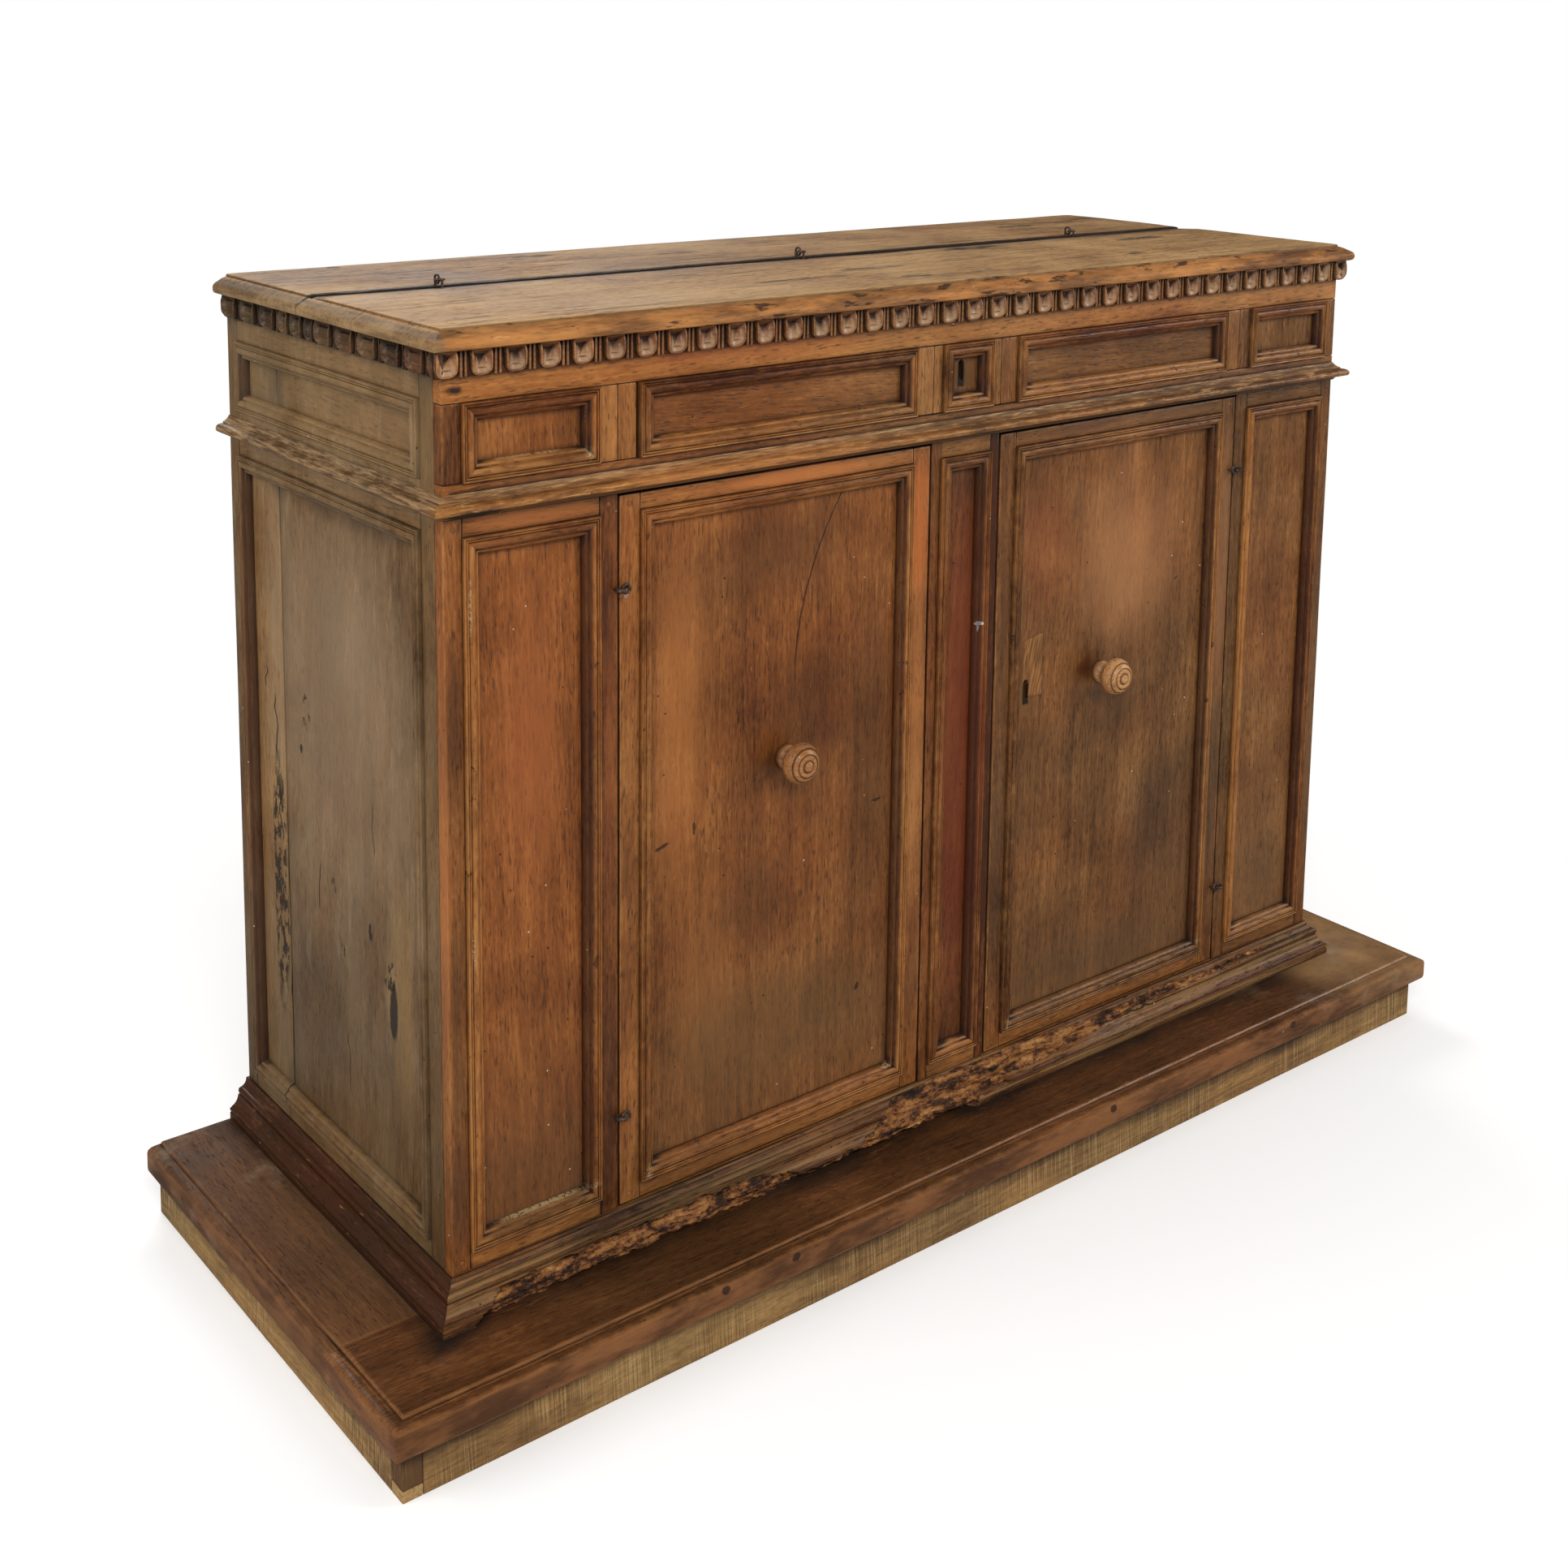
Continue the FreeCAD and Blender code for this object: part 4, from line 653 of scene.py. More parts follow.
def frame_marks(wood):
    """Pegs at the joints, hands' gold along the left corner and the doors' heads, and dents from keys and brooms."""
    x, y, z = wood.place
    wood.spots(
        (-.748, .600, .011, .420, .7, .45, (178, 108, 54)),
        (-.735, .420, .014, .200, .7, .45, (72, 48, 26)),
        (-.735, .230, .014, .110, .7, .55, (78, 50, 30)),
        (-.734, .800, .012, .090, .7, .50, (60, 36, 20)),
        (-.516, .8835, .0055, .0075, .7, .85, (196, 158, 136)),
        (-.540, .860, .016, .120, .7, .40, (62, 34, 18)),
        (-.538, .300, .016, .150, .7, .35, (78, 50, 28)),
        (-.640, .987, .120, .016, .7, .45, (184, 110, 54)),
        (-.290, .985, .230, .016, .7, .75, (188, 114, 56)),
        (-.290, .158, .200, .013, .7, .45, (112, 72, 38)),
        (-.075, .640, .016, .300, .7, .30, (180, 118, 62)),
        (-.078, .900, .020, .110, .7, .60, (186, 100, 42)),
        (-.075, .300, .016, .120, .7, .50, (84, 48, 24)),
        (-.540, .700, .014, .240, .7, .30, (150, 84, 42)),
        (.075, .560, .016, .380, .7, .40, (64, 42, 28)),
        (.290, .985, .230, .016, .7, .35, (118, 84, 54)),
        (.511, .720, .020, .280, .7, .45, (148, 102, 66)),
        (.510, .420, .018, .200, .7, .45, (72, 54, 38)),
        (-.400, 1.150, .330, .028, .7, .40, (156, 84, 42)),
        (.735, .500, .020, .400, .7, .30, (110, 84, 58)),
        (-.729, 1.134, .013, .007, .7, .95, (40, 26, 22)))
    for px, pz, pale in ((-.733, 1.150, 1), (-.733, .986, 0), (-.539, .987, 1), (-.512, .984, 0), (-.075, .984, 1),
                         (.075, .984, 0), (.512, .986, 1), (.734, .986, 0), (-.512, .158, 1), (-.075, .158, 0),
                         (.075, .158, 1), (.512, .158, 0), (-.733, .157, 1), (.734, 1.150, 1), (-.0725, 1.150, 0),
                         (.0725, 1.140, 1), (-.527, 1.150, 0), (.527, 1.150, 1), (-.658, .947, 1), (-.523, .880, 1)):
        away = ((x - px) * (x - px) + (z - pz) * (z - pz)).sum("SQRT") + (wood.cloud(220, 1) - .5) * .0016
        peg, rim = away.over(.0030, .0022), away.within(.0030, .0009)
        wood.stain(peg * .35, (166, 112, 66) if pale else (70, 42, 24))
        wood.stain(rim * .45, (44, 26, 14))
        wood.relief -= rim
    wood.stain(wood.patch((.008, 0, .600), (.040, 0, .390), .6) * .62, (110, 44, 16))
    nick = wood.patch((.028, 0, .751), (.0062, 0, .0028), .3)
    nick = nick.either(wood.patch((.027, 0, .745), (.0020, 0, .0052), .3))
    wood.stain(nick * .9, (224, 214, 214))
    wood.relief -= nick * 2
    # painted shade on the marked inner moulding slopes
    painted_slope_shade(wood)


frame_walnut = timber("frame_walnut", **WALNUT, pores=.55, gloss=.42, marks=frame_marks)
PANEL, BEHIND, SEAM = -.199, -.188, .0002  # the panels' face, the frame's back, and the gap at a joint
FRAME_FOOT, PANEL_FOOT, PANEL_HEAD, WAIST_FOOT = .145, .166, .976, .998
FRIEZE_FOOT, FRIEZE_HEAD, UNDER_TOP = 1.0345, 1.120, 1.177
MUNTINS = ((-.7335, .0115), (-.539, .012), (-.5145, .0125), (-.0725, .0145), (-.0505, .0075), (.0505, .0075),
           (.0725, .0145), (.5145, .0125), (.539, .012), (.7335, .0115))
for name, node, boards in (
        ("front_top_rail_board", "front_top_rail", [((-SIDE, FRIEZE_HEAD), (SIDE, UNDER_TOP), "x", (.25, .65, .8))]),
        ("front_waist_rail_board", "front_waist_rail", [((-SIDE, WAIST_FOOT), (SIDE, FRIEZE_FOOT), "x",
                (0, .5, .5))]),
        ("frieze_muntin_boards", "frieze_muntins", [
            ((x - w, FRIEZE_FOOT), (x + w, FRIEZE_HEAD), "z", (-.5 if x < -.6 else .3 if x < 0 else 0, .55, .6))
            for x, w in MUNTINS]),
        ("left_fixed_frame_boards", "left_fixed_frame", [
            ((-SIDE, FRAME_FOOT), (-.722, WAIST_FOOT), "z", (.0, .6, .7)),
            ((-.551, FRAME_FOOT), (-.527, WAIST_FOOT), "z", (-.5, .85, .45)),
            ((-.722, FRAME_FOOT), (-.551, PANEL_FOOT), "x", (0, .6, .5)),
            ((-.722, PANEL_HEAD), (-.551, WAIST_FOOT), "x", (0, .6, .5))]),
        ("right_fixed_frame_boards", "right_fixed_frame", [
            ((.722, FRAME_FOOT), (SIDE, WAIST_FOOT), "z", (-.2, .3, .7)),
            ((.527, FRAME_FOOT), (.551, WAIST_FOOT), "z", (-.1, .3, .6)),
            ((.551, FRAME_FOOT), (.722, PANEL_FOOT), "x", (-.2, .3, .5)),
            ((.551, PANEL_HEAD), (.722, WAIST_FOOT), "x", (-.1, .3, .5))])):
    frame_part = Bench(name)
    for (x0, z0), (x1, z1), along, cast in boards:
        frame_part.board((x0 + SEAM, FRONT, z0 + SEAM), (x1 - SEAM, BEHIND, z1 - SEAM), along, cast,
                         bands=(.0035, .008), every=.07)
    frame_part.done("carcase", "frame_walnut", frame_walnut, node)

post = Bench("centre_post_boards")
post.board((-.058, FRONT, FRAME_FOOT), (-.043, BEHIND, WAIST_FOOT), "z", (-.45, 1.0, .6), bands=(.0035,))
post.board((.043, FRONT, FRAME_FOOT), (.058, BEHIND, WAIST_FOOT), "z", (-1.0, 1.0, .3), bands=(.0035,))
post.board((-.043, FRONT, FRAME_FOOT), (.043, BEHIND, PANEL_FOOT), "x", (0, .5, .5), bands=(.0035,))
post.board((-.043, FRONT, PANEL_HEAD), (.043, BEHIND, WAIST_FOOT), "x", (0, .55, .5), bands=(.0035,))
post.board((-.043, PANEL, PANEL_FOOT), (.043, BEHIND, PANEL_HEAD), "z", (-.3, 1.0, .3), bands=(.0215,))


# The framed panels: thin walnut boards behind a mitred moulding that has a narrow
# bead, a fine groove, a flat band and a soft round next to the panel.

PANEL_EDGE = [(0, 0), (0, .0106), (.0005, .0114), (.0013, .0118), (.0022, .0114), (.0026, .0104), (.0031, .0103),
              (.0035, .0111), (.0043, .0115), (.0050, .0110), (.0054, .0098), (.0060, .0098), (.0064, .0110),
              (.0078, .0120), (.0098, .0124), (.0118, .0119), (.0135, .0107), (.0146, .0092), (.0152, .0081),
              (.0160, .0080), (.0165, .0085), (.0182, .0078), (.0196, .0062), (.0206, .0040), (.0210, .0020),
              (.0210, 0)]


X, FORWARD = Vector((1, 0, 0)), Vector((0, -1, 0))


def on_front(u, v):
    return Vector((u, PANEL, v))


def framed(bench, u0, u1, v0, v1, casts, place=on_front, across=X, outward=FORWARD):
    """Four mitred lengths round an opening: left, right, top and foot. Place turns (u, v) into a point on the
    panel."""
    up = Vector((0, 0, 1))
    corners = [place(u, v) for u, v in ((u0, v0), (u0, v1), (u1, v1), (u1, v0))]
    for start, end, out, cast in zip((0, 2, 1, 3), (1, 3, 2, 0), (across, -across, -up, up), casts):
        # Marks the inner slope of this length for painted shade.
        def darkened(part):
            for v in part.verts:
                v[part.verts.layers.float["raw"]] = min(1, max(0, ((v.co - corners[start]).dot(out) - .0108) / .002))

        bench.run(PANEL_EDGE, corners[start], corners[end], out, outward, (-1, -1), cast,
                  shape=darkened if out == -across else None)


# Casts are left, right, top and foot; the foot's is the lightest, painted light on its slope, which faces up.
framed(post, -.043, .043, PANEL_FOOT, PANEL_HEAD, ((-.3, .8, .6), (-.3, 1.0, .6), (-.3, .8, .5), (.0, .6, .6)))
post.done("carcase", "frame_walnut", frame_walnut, "centre_post")


def panel_marks(wood):
    """What years have left on the panels: hands round the knobs, a drying crack, a let-in patch, and damp low
    down. Also painted shadows beside the knobs, and painted shade in the keyholes."""
    x, y, z = wood.place
    unmarked = wood.shade
    wood.spots(
        (-.250, .655, .095, .150, .8, .62, (62, 35, 14)),
        (-.150, .640, .060, .260, .8, .50, (72, 47, 22)),
        (-.290, .890, .190, .090, .9, .55, (80, 46, 22)),
        (-.400, .400, .070, .200, .8, .40, (150, 98, 50)),
        (.330, .800, .170, .170, .9, .55, (176, 120, 74)),
        (-.330, .470, .080, .110, .8, .40, (72, 50, 30)),
        (-.440, .740, .055, .320, .9, .48, (176, 108, 52)),
        (-.300, .300, .240, .110, .8, .42, (104, 78, 44)),
        # The next two rows are painted shadows that the right and the left knob cast on their panels.
        (.243, .648, .032, .028, .9, .80, (58, 22, 9)),
        (-.302, .630, .028, .032, .9, .55, (52, 28, 12)),
        (.262, .604, .022, .016, .8, .50, (52, 44, 34)),
        (.300, .590, .090, .080, .8, .25, (84, 62, 40)),
        (.400, .380, .110, .150, .9, .38, (62, 46, 32)),
        (.150, .830, .080, .130, .8, .35, (146, 78, 42)),
        (.300, .220, .240, .060, .8, .40, (78, 60, 40)),
        (-.636, .300, .140, .230, .8, .32, (100, 62, 32)),
        (-.636, .740, .060, .240, .9, .60, (158, 88, 44)),
        (.640, .300, .110, .200, .9, .28, (84, 68, 46)))
    damp = wood.cloud(11, 3, .6) * z.over(.40, .17)
    wood.stain(damp * .55, (96, 78, 52))
    up = (z - .698) / .254
    bend = up * up * .0937 - up * .0267 - .266
    ragged = (wood.cloud(1, 3, .7, at=wood.point(0, 1, z * 30)) - .5) * .006
    line = (x - bend - ragged).within(0, .0018) * z.over(.700, .780) * z.over(.958, .950)
    wood.stain(line * .9, (34, 18, 10))
    wood.relief -= line * 3
    top, foot = z - x * .167, z + (x - .157).both(0.0) * .1
    inside = x.over(.1205, .1211) * x.over(.1570, .1564) * foot.over(.6270, .6276) * top.over(.6875, .6869)
    lip = x.over(.1197, .1203) * x.over(.1578, .1572) * foot.over(.6262, .6268) * top.over(.6883, .6877) - inside
    lit = wood.cloud(1, 2, .6, at=wood.point(x * 260 - z * 60, 0, z * 24))
    let_in = wood.blend(lit.over(.4, .65), paint(112, 72, 36), paint(168, 114, 60))
    wood.stain(inside * .75, let_in)
    wood.stain(lip.either(0) * .6, (44, 26, 14))
    # Painted shade: near-black inside each keyhole and just round its edge.
    for kx, kz in ((.1265, .6395), (-.006, 1.083)):
        rim = (x - kx).within(0, .0085).over(.15, .45) * (z - kz + .006).within(0, .0200).over(.12, .30)
        wood.stain(rim * .92, (20, 9, 5))
    for dx, dz, wide, tall, tilt in ((-.133, .548, .010, .0022, .1), (-.462, .568, .013, .0030, .25),
                                     (-.416, .581, .0024, .010, 0), (-.352, .700, .0016, .009, 0),
                                     (-.161, .307, .0035, .0055, .4), (.420, .745, .006, .0016, .5)):
        dent = ((((x - dx) / wide) ** 2.0 + ((z - dz - (x - dx) * tilt) / tall) ** 2.0).sum("SQRT")
                + (wood.cloud(240, 2) - .5) * 1.1).over(1, .6)
        wood.stain(dent * .8, (44, 28, 18))
        wood.relief -= dent * 3
    wood.shade = wood.blend(y.over(-.1950, -.1970), unmarked, wood.shade)


panel_walnut = timber("panel_walnut", **WALNUT, grain=.8, pores=.55, gloss=.38, marks=panel_marks)
panels, edges = Bench("fixed_panel_boards"), Bench("fixed_panel_edge_mouldings")
for x0, x1, cast, run in ((-.722, -.551, (.05, 1.0, .3), "z"), (.551, .722, (.0, .3, .4), "z")):
    panels.board((x0, PANEL, PANEL_FOOT), (x1, BEHIND, PANEL_HEAD), run, cast, bands=(.0212, .006, .014))
    framed(edges, x0, x1, PANEL_FOOT, PANEL_HEAD, [(.2, .7, .8), (-.15, .8, .7), (-.2, .6, .6), (-.15, .2, .7)])
panels.done("carcase", "panel_walnut", panel_walnut, "fixed_panels")
edges.done("carcase", "moulding_walnut", moulding_walnut, "fixed_panel_mouldings")


def keyhole(piece, x, z):
    """Cuts a keyhole right through a piece: a round for the key's shank over a slot for its bit."""
    tool = bmesh.new()
    outline = [(.0048 * math.cos(math.radians(t)), .0048 * math.sin(math.radians(t))) for t in range(-48, 229, 18)]
    outline += [(-.0033, -.0185), (-.0018, -.0206), (.0018, -.0209), (.0034, -.0190)]
    face = tool.faces.new([tool.verts.new((x + u, -.23, z + .0095 + w)) for u, w in outline])
    deep = bmesh.ops.extrude_face_region(tool, geom=[face], use_keep_orig=True)["geom"]
    bmesh.ops.translate(tool, vec=(0, .06, 0), verts=points(deep))
    bmesh.ops.recalc_face_normals(tool, faces=tool.faces)
    mesh = bpy.data.meshes.new("drill")
    tool.to_mesh(mesh)
    drill = bpy.data.objects.new("drill", mesh)
    bpy.context.collection.objects.link(drill)
    cut = piece.modifiers.new("keyhole", "BOOLEAN")
    cut.object, cut.operation, cut.solver = drill, "DIFFERENCE", "EXACT"
    bpy.context.view_layer.update()
    drilled = bpy.data.meshes.new_from_object(piece.evaluated_get(bpy.context.evaluated_depsgraph_get()))
    piece.modifiers.clear()
    piece.data = drilled
    bpy.data.objects.remove(drill)


panels, edges = Bench("frieze_panel_boards"), Bench("frieze_panel_edge_mouldings")
for x0, x1, cast, run in ((-.722, -.551, (.1, .8, .4), "z"), (-.4985, -.087, (.1, .6, .4), "x"),
                          (-.043, .043, (-.1, .6, .4), "z"), (.087, .4985, (-.15, .4, .4), "x"),
                          (.551, .722, (-.1, .3, .4), "z")):
    panels.board((x0, PANEL, FRIEZE_FOOT), (x1, BEHIND, FRIEZE_HEAD), run, cast, bands=(.0212, .005))
    # Casts are left, right, top and foot; the foot's is the lightest, painted light on its slope, which faces up.
    framed(edges, x0, x1, FRIEZE_FOOT, FRIEZE_HEAD, [(-.2, .6, .6), (-.1, .8, .7), (-.35, .9, .5), (.1, .45, .8)])
keyhole(panels.done("carcase", "panel_walnut", panel_walnut, "frieze_panels"), -.006, 1.083)
edges.done("carcase", "moulding_walnut", moulding_walnut, "frieze_mouldings")


# The waist moulding: a walnut nosing over an undercut, mitred round the carcase
# between the doors and the frieze, its round worn golden.

WAIST = [(0, 0), (.002, 0), (.0026, .0018), (.0048, .0038), (.0085, .0052), (.0130, .0060), (.0160, .0068),
         (.0178, .0082), (.0184, .0105), (.0180, .0130), (.0164, .0150), (.0140, .0162), (.0118, .0166),
         (.0086, .0166), (.0085, .0190), (.0066, .0191), (.0060, .0200), (.0042, .0212), (.0026, .0228),
         (.0014, .0246), (.0006, .0260), (0, .0260)]


def waist_marks(wood):
    """Pale worn flecks along the nose, and a scorched hollow beside the left corner."""
    x, y, z = wood.place
    fleck = wood.cloud((26, 26, 420), 4, .7) * z.over(1.004, 1.007)
    wood.stain(fleck.over(.56, .66) * (y.over(-.19, -.21) * .4 + .3), (206, 158, 96))
    wood.stain(wood.patch((-.38, -.215, 1), (.36, .06, .06), .8) * (fleck.over(.40, .60) * .4 + .35), (186, 120, 62))
    side = y.over(-.222, -.200)
    wood.stain(side * .55, wood.blend(fleck.over(.42, .58), paint(104, 82, 56), paint(166, 138, 102)))
    wood.stain(fleck.over(.44, .36) * .5, (62, 38, 20))
    scorch = wood.patch((-.705, -.215, 1.002), (.040, .030, .008), .4)
    wood.stain(scorch * .85, wood.blend(fleck.over(.5, .6), paint(34, 28, 24), paint(190, 168, 140)))
    wood.relief += fleck


waist_walnut = timber("waist_walnut", olive=WALNUT["olive"], warm=((70, 38, 17), (138, 84, 38), (188, 126, 66)),
                      worn=(204, 140, 74), dirt_and_shade=(28, 16, 8), pores=.5, gloss=.38, marks=waist_marks)
waist = Bench("waist_front_moulding")
waist.run(WAIST, (-SIDE, FRONT, WAIST_FOOT), (SIDE, FRONT, WAIST_FOOT), (0, -1, 0), (0, 0, 1), (1, 1), (.0, .6, .7),
          every=.02)
waist.done("carcase", "moulding_walnut", waist_walnut, "waist_front")
waist = Bench("waist_return_mouldings")
waist.run(WAIST, (-SIDE, REAR, WAIST_FOOT), (-SIDE, FRONT, WAIST_FOOT), (-1, 0, 0), (0, 0, 1), (0, 1), (-.1, .1, .6),
          every=.02)
waist.run(WAIST, (SIDE, FRONT, WAIST_FOOT), (SIDE, REAR, WAIST_FOOT), (1, 0, 0), (0, 0, 1), (1, 0), (-.1, .1, .6),
          every=.02)
waist.done("carcase", "moulding_walnut", waist_walnut, "waist_returns")


# The sides: a frame of two stiles and three rails round a tall panel of two boards,
# which have shrunk apart, and a small frieze panel, each in its own mitred moulding.

def side_marks(wood):
    """A greyer bloom with painted sheen in its fine pale flecks, a painted shadow under the waist moulding, and the
    long split with the knots and holes beside it.
    """
    x, y, z = wood.place
    bloom = wood.cloud((4, 6, 2.6), 4, .65)
    wood.stain(bloom.over(.40, .68) * .50, (140, 116, 84))
    wood.stain(bloom.over(.50, .32) * .50, (84, 62, 38))
    streak = wood.cloud((9, 34, 1.8), 3, .6).over(.60, .78)
    wood.stain(streak * .30, (58, 40, 22))
    fine = wood.cloud((70, 90, 16), 3, .65, shift=2)
    # Painted sheen: fine pale grey-lilac flecks over the bloom.
    wood.stain(fine.over(.56, .68) * bloom.over(.36, .56) * .20, (168, 144, 116))
    wood.stain(fine.over(.42, .32) * .26, (62, 42, 24))
    wood.stain(wood.patch((0, .06, .72), (0, .26, .36), .8) * .36, (164, 136, 106))
    wood.stain(y.over(-.135, -.170) * .30, (62, 48, 30))
    wood.stain(z.over(.985, 1.000) * .22, (150, 122, 84))
    wood.stain(z.over(.56, .16) * .42, (66, 48, 28))
    wood.stain(wood.patch((0, -.085, .42), (0, .040, .17), .9) * .45, (150, 118, 70))
    wood.stain(wood.patch((0, .02, .80), (0, .12, .12), .9) * .22, (148, 128, 100))
    # Painted shadow: a darker band across the top of the panel, under the overhang of the waist moulding.
    wood.stain(wood.patch((0, .06, .955), (0, .20, .022), .8) * .45, (70, 50, 30))
    wood.stain(wood.patch((0, -.060, .412), (0, .024, .066), .9) * .50, (146, 120, 82))
    wander = wood.cloud(1, 3, .6, at=wood.point(0, 2, z * 9)) - .5
    for middle, drift, low, high, wide in (
            (.236, .10, .60, .70, .0026), (.262, .14, .690, .722, .0022), (.226, .09, .50, .60, .0024),
            (.2085, .012, .10, .62, .0030), (-.125, .03, .72, .86, .0014), (.120, .05, .44, .52, .0018),
            (-.02, .05, .56, .64, .0012), (.05, .04, .24, .33, .0014)):
        line = ((y - middle - wander * drift).within(0, wide)
                * z.within((low + high) / 2, (high - low) / 2).over(0, .3))
        wood.stain(line * .95, (22, 14, 8))
        wood.relief -= line * 4
    torn = wood.cloud((1, 90, 45), 4, .7)
    for centre, reach, start in (((0, .232, .45), (0, .026, .17), .47), ((0, -.064, .392), (0, .011, .038), .33),
                                 ((0, -.056, .434), (0, .016, .022), .46), ((0, .150, .690), (0, .018, .022), .54),
                                 ((0, .08, .500), (0, .014, .040), .56), ((0, .165, .640), (0, .004, .007), .36),
                                 ((0, -.010, .470), (0, .006, .012), .42), ((0, .060, .440), (0, .012, .030), .54)):
        hole = wood.patch(centre, reach) * torn.over(start, start + .07)
        wood.stain(hole * .9, (30, 20, 12))
        wood.relief -= hole * 4
    # painted shade on the marked inner moulding slopes
    painted_slope_shade(wood)
    wood.dull += bloom * .06 - .04


side_walnut = timber("side_walnut", olive=((50, 34, 17), (106, 79, 46), (148, 117, 76)),
                     warm=((64, 37, 16), (122, 82, 44), (164, 118, 68)), worn=(178, 140, 92), dirt_and_shade=(30, 20, 11),
                     grain=.7, pores=.5, gloss=.38, marks=side_marks)
for side, word in ((-1, "left"), (1, "right")):
    outer, inner, face = side * SIDE, side * .723, side * .738
    x0, x1 = sorted((outer, inner))
    walls = Bench(word + "_side_frame_boards")
    for y0, y1, z0, z1, along, cast in ((-.188, -.158, DECK, UNDER_TOP, "z", (.1, .4, .7)),
                                        (.306, REAR, DECK, UNDER_TOP, "z", (-.1, .3, .6)),
                                        (-.158, .306, DECK, PANEL_FOOT, "y", (0, .3, .5)),
                                        (-.158, .306, .978, FRIEZE_FOOT, "y", (0, .4, .5)),
                                        (-.158, .306, FRIEZE_HEAD, UNDER_TOP, "y", (.05, .4, .6))):
        walls.board((x0, y0 + SEAM, z0 + SEAM), (x1, y1 - SEAM, z1 - SEAM), along, cast, bands=(.004, .008),
                    every=.07)
    walls.done("carcase", "frame_walnut", side_walnut, word + "_side_frame")
    x0, x1 = sorted((face, inner))
    boards = Bench(word + "_side_panel_boards")
    boards.board((x0, -.158, PANEL_FOOT), (x1, .2078, .978), "z", (.0, .3, .35), bands=(.0212, .006, .014),
                 arris=.0018)
    boards.board((x0, .2104, PANEL_FOOT), (x1, .306, .978), "z", (.15, .35, .35), bands=(.0212, .006, .014),
                 arris=.0018)
    boards.board((x0, -.158, FRIEZE_FOOT), (x1, .2085, FRIEZE_HEAD), "y", (.1, .4, .4), bands=(.0212, .005))
    boards.board((x0, .2097, FRIEZE_FOOT), (x1, .306, FRIEZE_HEAD), "y", (-.05, .3, .4), bands=(.0212, .005))
    boards.done("carcase", "panel_walnut", side_walnut, word + "_side_panels")
    sticks = Bench(word + "_side_edge_mouldings")
    for z0, z1 in ((PANEL_FOOT, .978), (FRIEZE_FOOT, FRIEZE_HEAD)):
        # Casts are left, right, top and foot; the foot's is the lightest, painted light on its slope, which faces up.
        framed(sticks, -.158, .306, z0, z1, [(-.05, .35, .6), (-.3, .7, .5), (-.1, .3, .6), (.1, .3, .7)],
               lambda u, v: Vector((face, u, v)), Vector((0, 1, 0)), Vector((side, 0, 0)))
    sticks.done("carcase", "moulding_walnut", side_walnut, word + "_side_mouldings")


# The doors: each a frame of four members with a mitred moulding round one broad
# board. The right one has a keyhole with a pale let-in patch beside it.

for side, word, warm, light in ((-1, "left", .75, .05), (1, "right", .35, -.12)):
    a, b = sorted((side * .061, side * .525))
    c, d = sorted((side * .089, side * .497))
    stiles = Bench(word + "_door_frame_boards")
    for x0, x1, z0, z1, along, cast in ((a, c, .148, .995, "z", (light + .15, warm, .8)),
                                        (d, b, .148, .995, "z", (light - .1, warm, .7)),
                                        (c, d, .148, .168, "x", (light, warm, .6)),
                                        (c, d, .975, .995, "x", (light + .1, warm, .8))):
        stiles.board((x0 + SEAM, FRONT, z0 + SEAM), (x1 - SEAM, -.184, z1 - SEAM), along, cast, bands=(.004, .007),
                     every=.07)
    stiles.done(word + "_door", "frame_walnut", frame_walnut, word + "_door_frame")
    board = Bench(word + "_door_panel_board")
    board.board((c, PANEL, .168), (d, BEHIND, .975), "z", (light, warm + .1, .35), bands=(.0212, .006, .014),
                every=.06)
    fitted = board.done(word + "_door", "panel_walnut", panel_walnut, word + "_door_panel")
    if word == "right":
        keyhole(fitted, .1265, .6395)
    sticks = Bench(word + "_door_edge_mouldings")
    framed(sticks, c, d, .168, .975,
           [(light - .1, warm, .6), (light, warm + .2, .9), (light - .2, warm, .6), (light - .1, warm - .15, .7)])
    sticks.done(word + "_door", "moulding_walnut", moulding_walnut, word + "_door_moulding")


# The knobs: turned walnut, one to each door, with a grooved face and a short neck,
# and rubbed pale by hands.

def painted_ring_shade(wood):
    """Painted shade: dark rings in the turned grooves and round the neck under the head."""
    x, y, z = wood.place
    x = (x + .007).sum("ABSOLUTE") - .275
    away = (x * x + (z - .639) * (z - .639)).sum("SQRT")
    for groove in (.0074, .0145, .0206):
        wood.stain(away.within(groove, .0016) * y.over(-.236, -.238) * .80, (58, 32, 17))
    wood.stain((y + .216).within(0, .0065) * .70, (66, 36, 20))


turned_walnut = timber("turned_walnut", olive=((96, 60, 34), (164, 114, 70), (206, 158, 106)),
                       warm=((100, 60, 32), (174, 118, 70), (214, 162, 108)), worn=(224, 178, 126), dirt_and_shade=(46, 26, 15),
                       grain=.5, pores=.5, gloss=.30, bump=.3, marks=painted_ring_shade)
KNOB = [(0, -.2490), (.0030, -.2489), (.0050, -.2482), (.0063, -.2468), (.0068, -.2450), (.0074, -.2446),
        (.0078, -.2452), (.0110, -.2458), (.0132, -.2454), (.0137, -.2440), (.0144, -.2438), (.0149, -.2446),
        (.0176, -.2432), (.0198, -.2414), (.0203, -.2398), (.0209, -.2397), (.0215, -.2402), (.0234, -.2370),
        (.0245, -.2335), (.0250, -.2300), (.0246, -.2270), (.0230, -.2243), (.0200, -.2222), (.0160, -.2206),
        (.0125, -.2192), (.0108, -.2170), (.0104, -.2140), (.0112, -.2115), (.0135, -.2098), (.0150, -.2080),
        (.0154, -.2045), (.0150, -.1992), (.0, -.1990)]
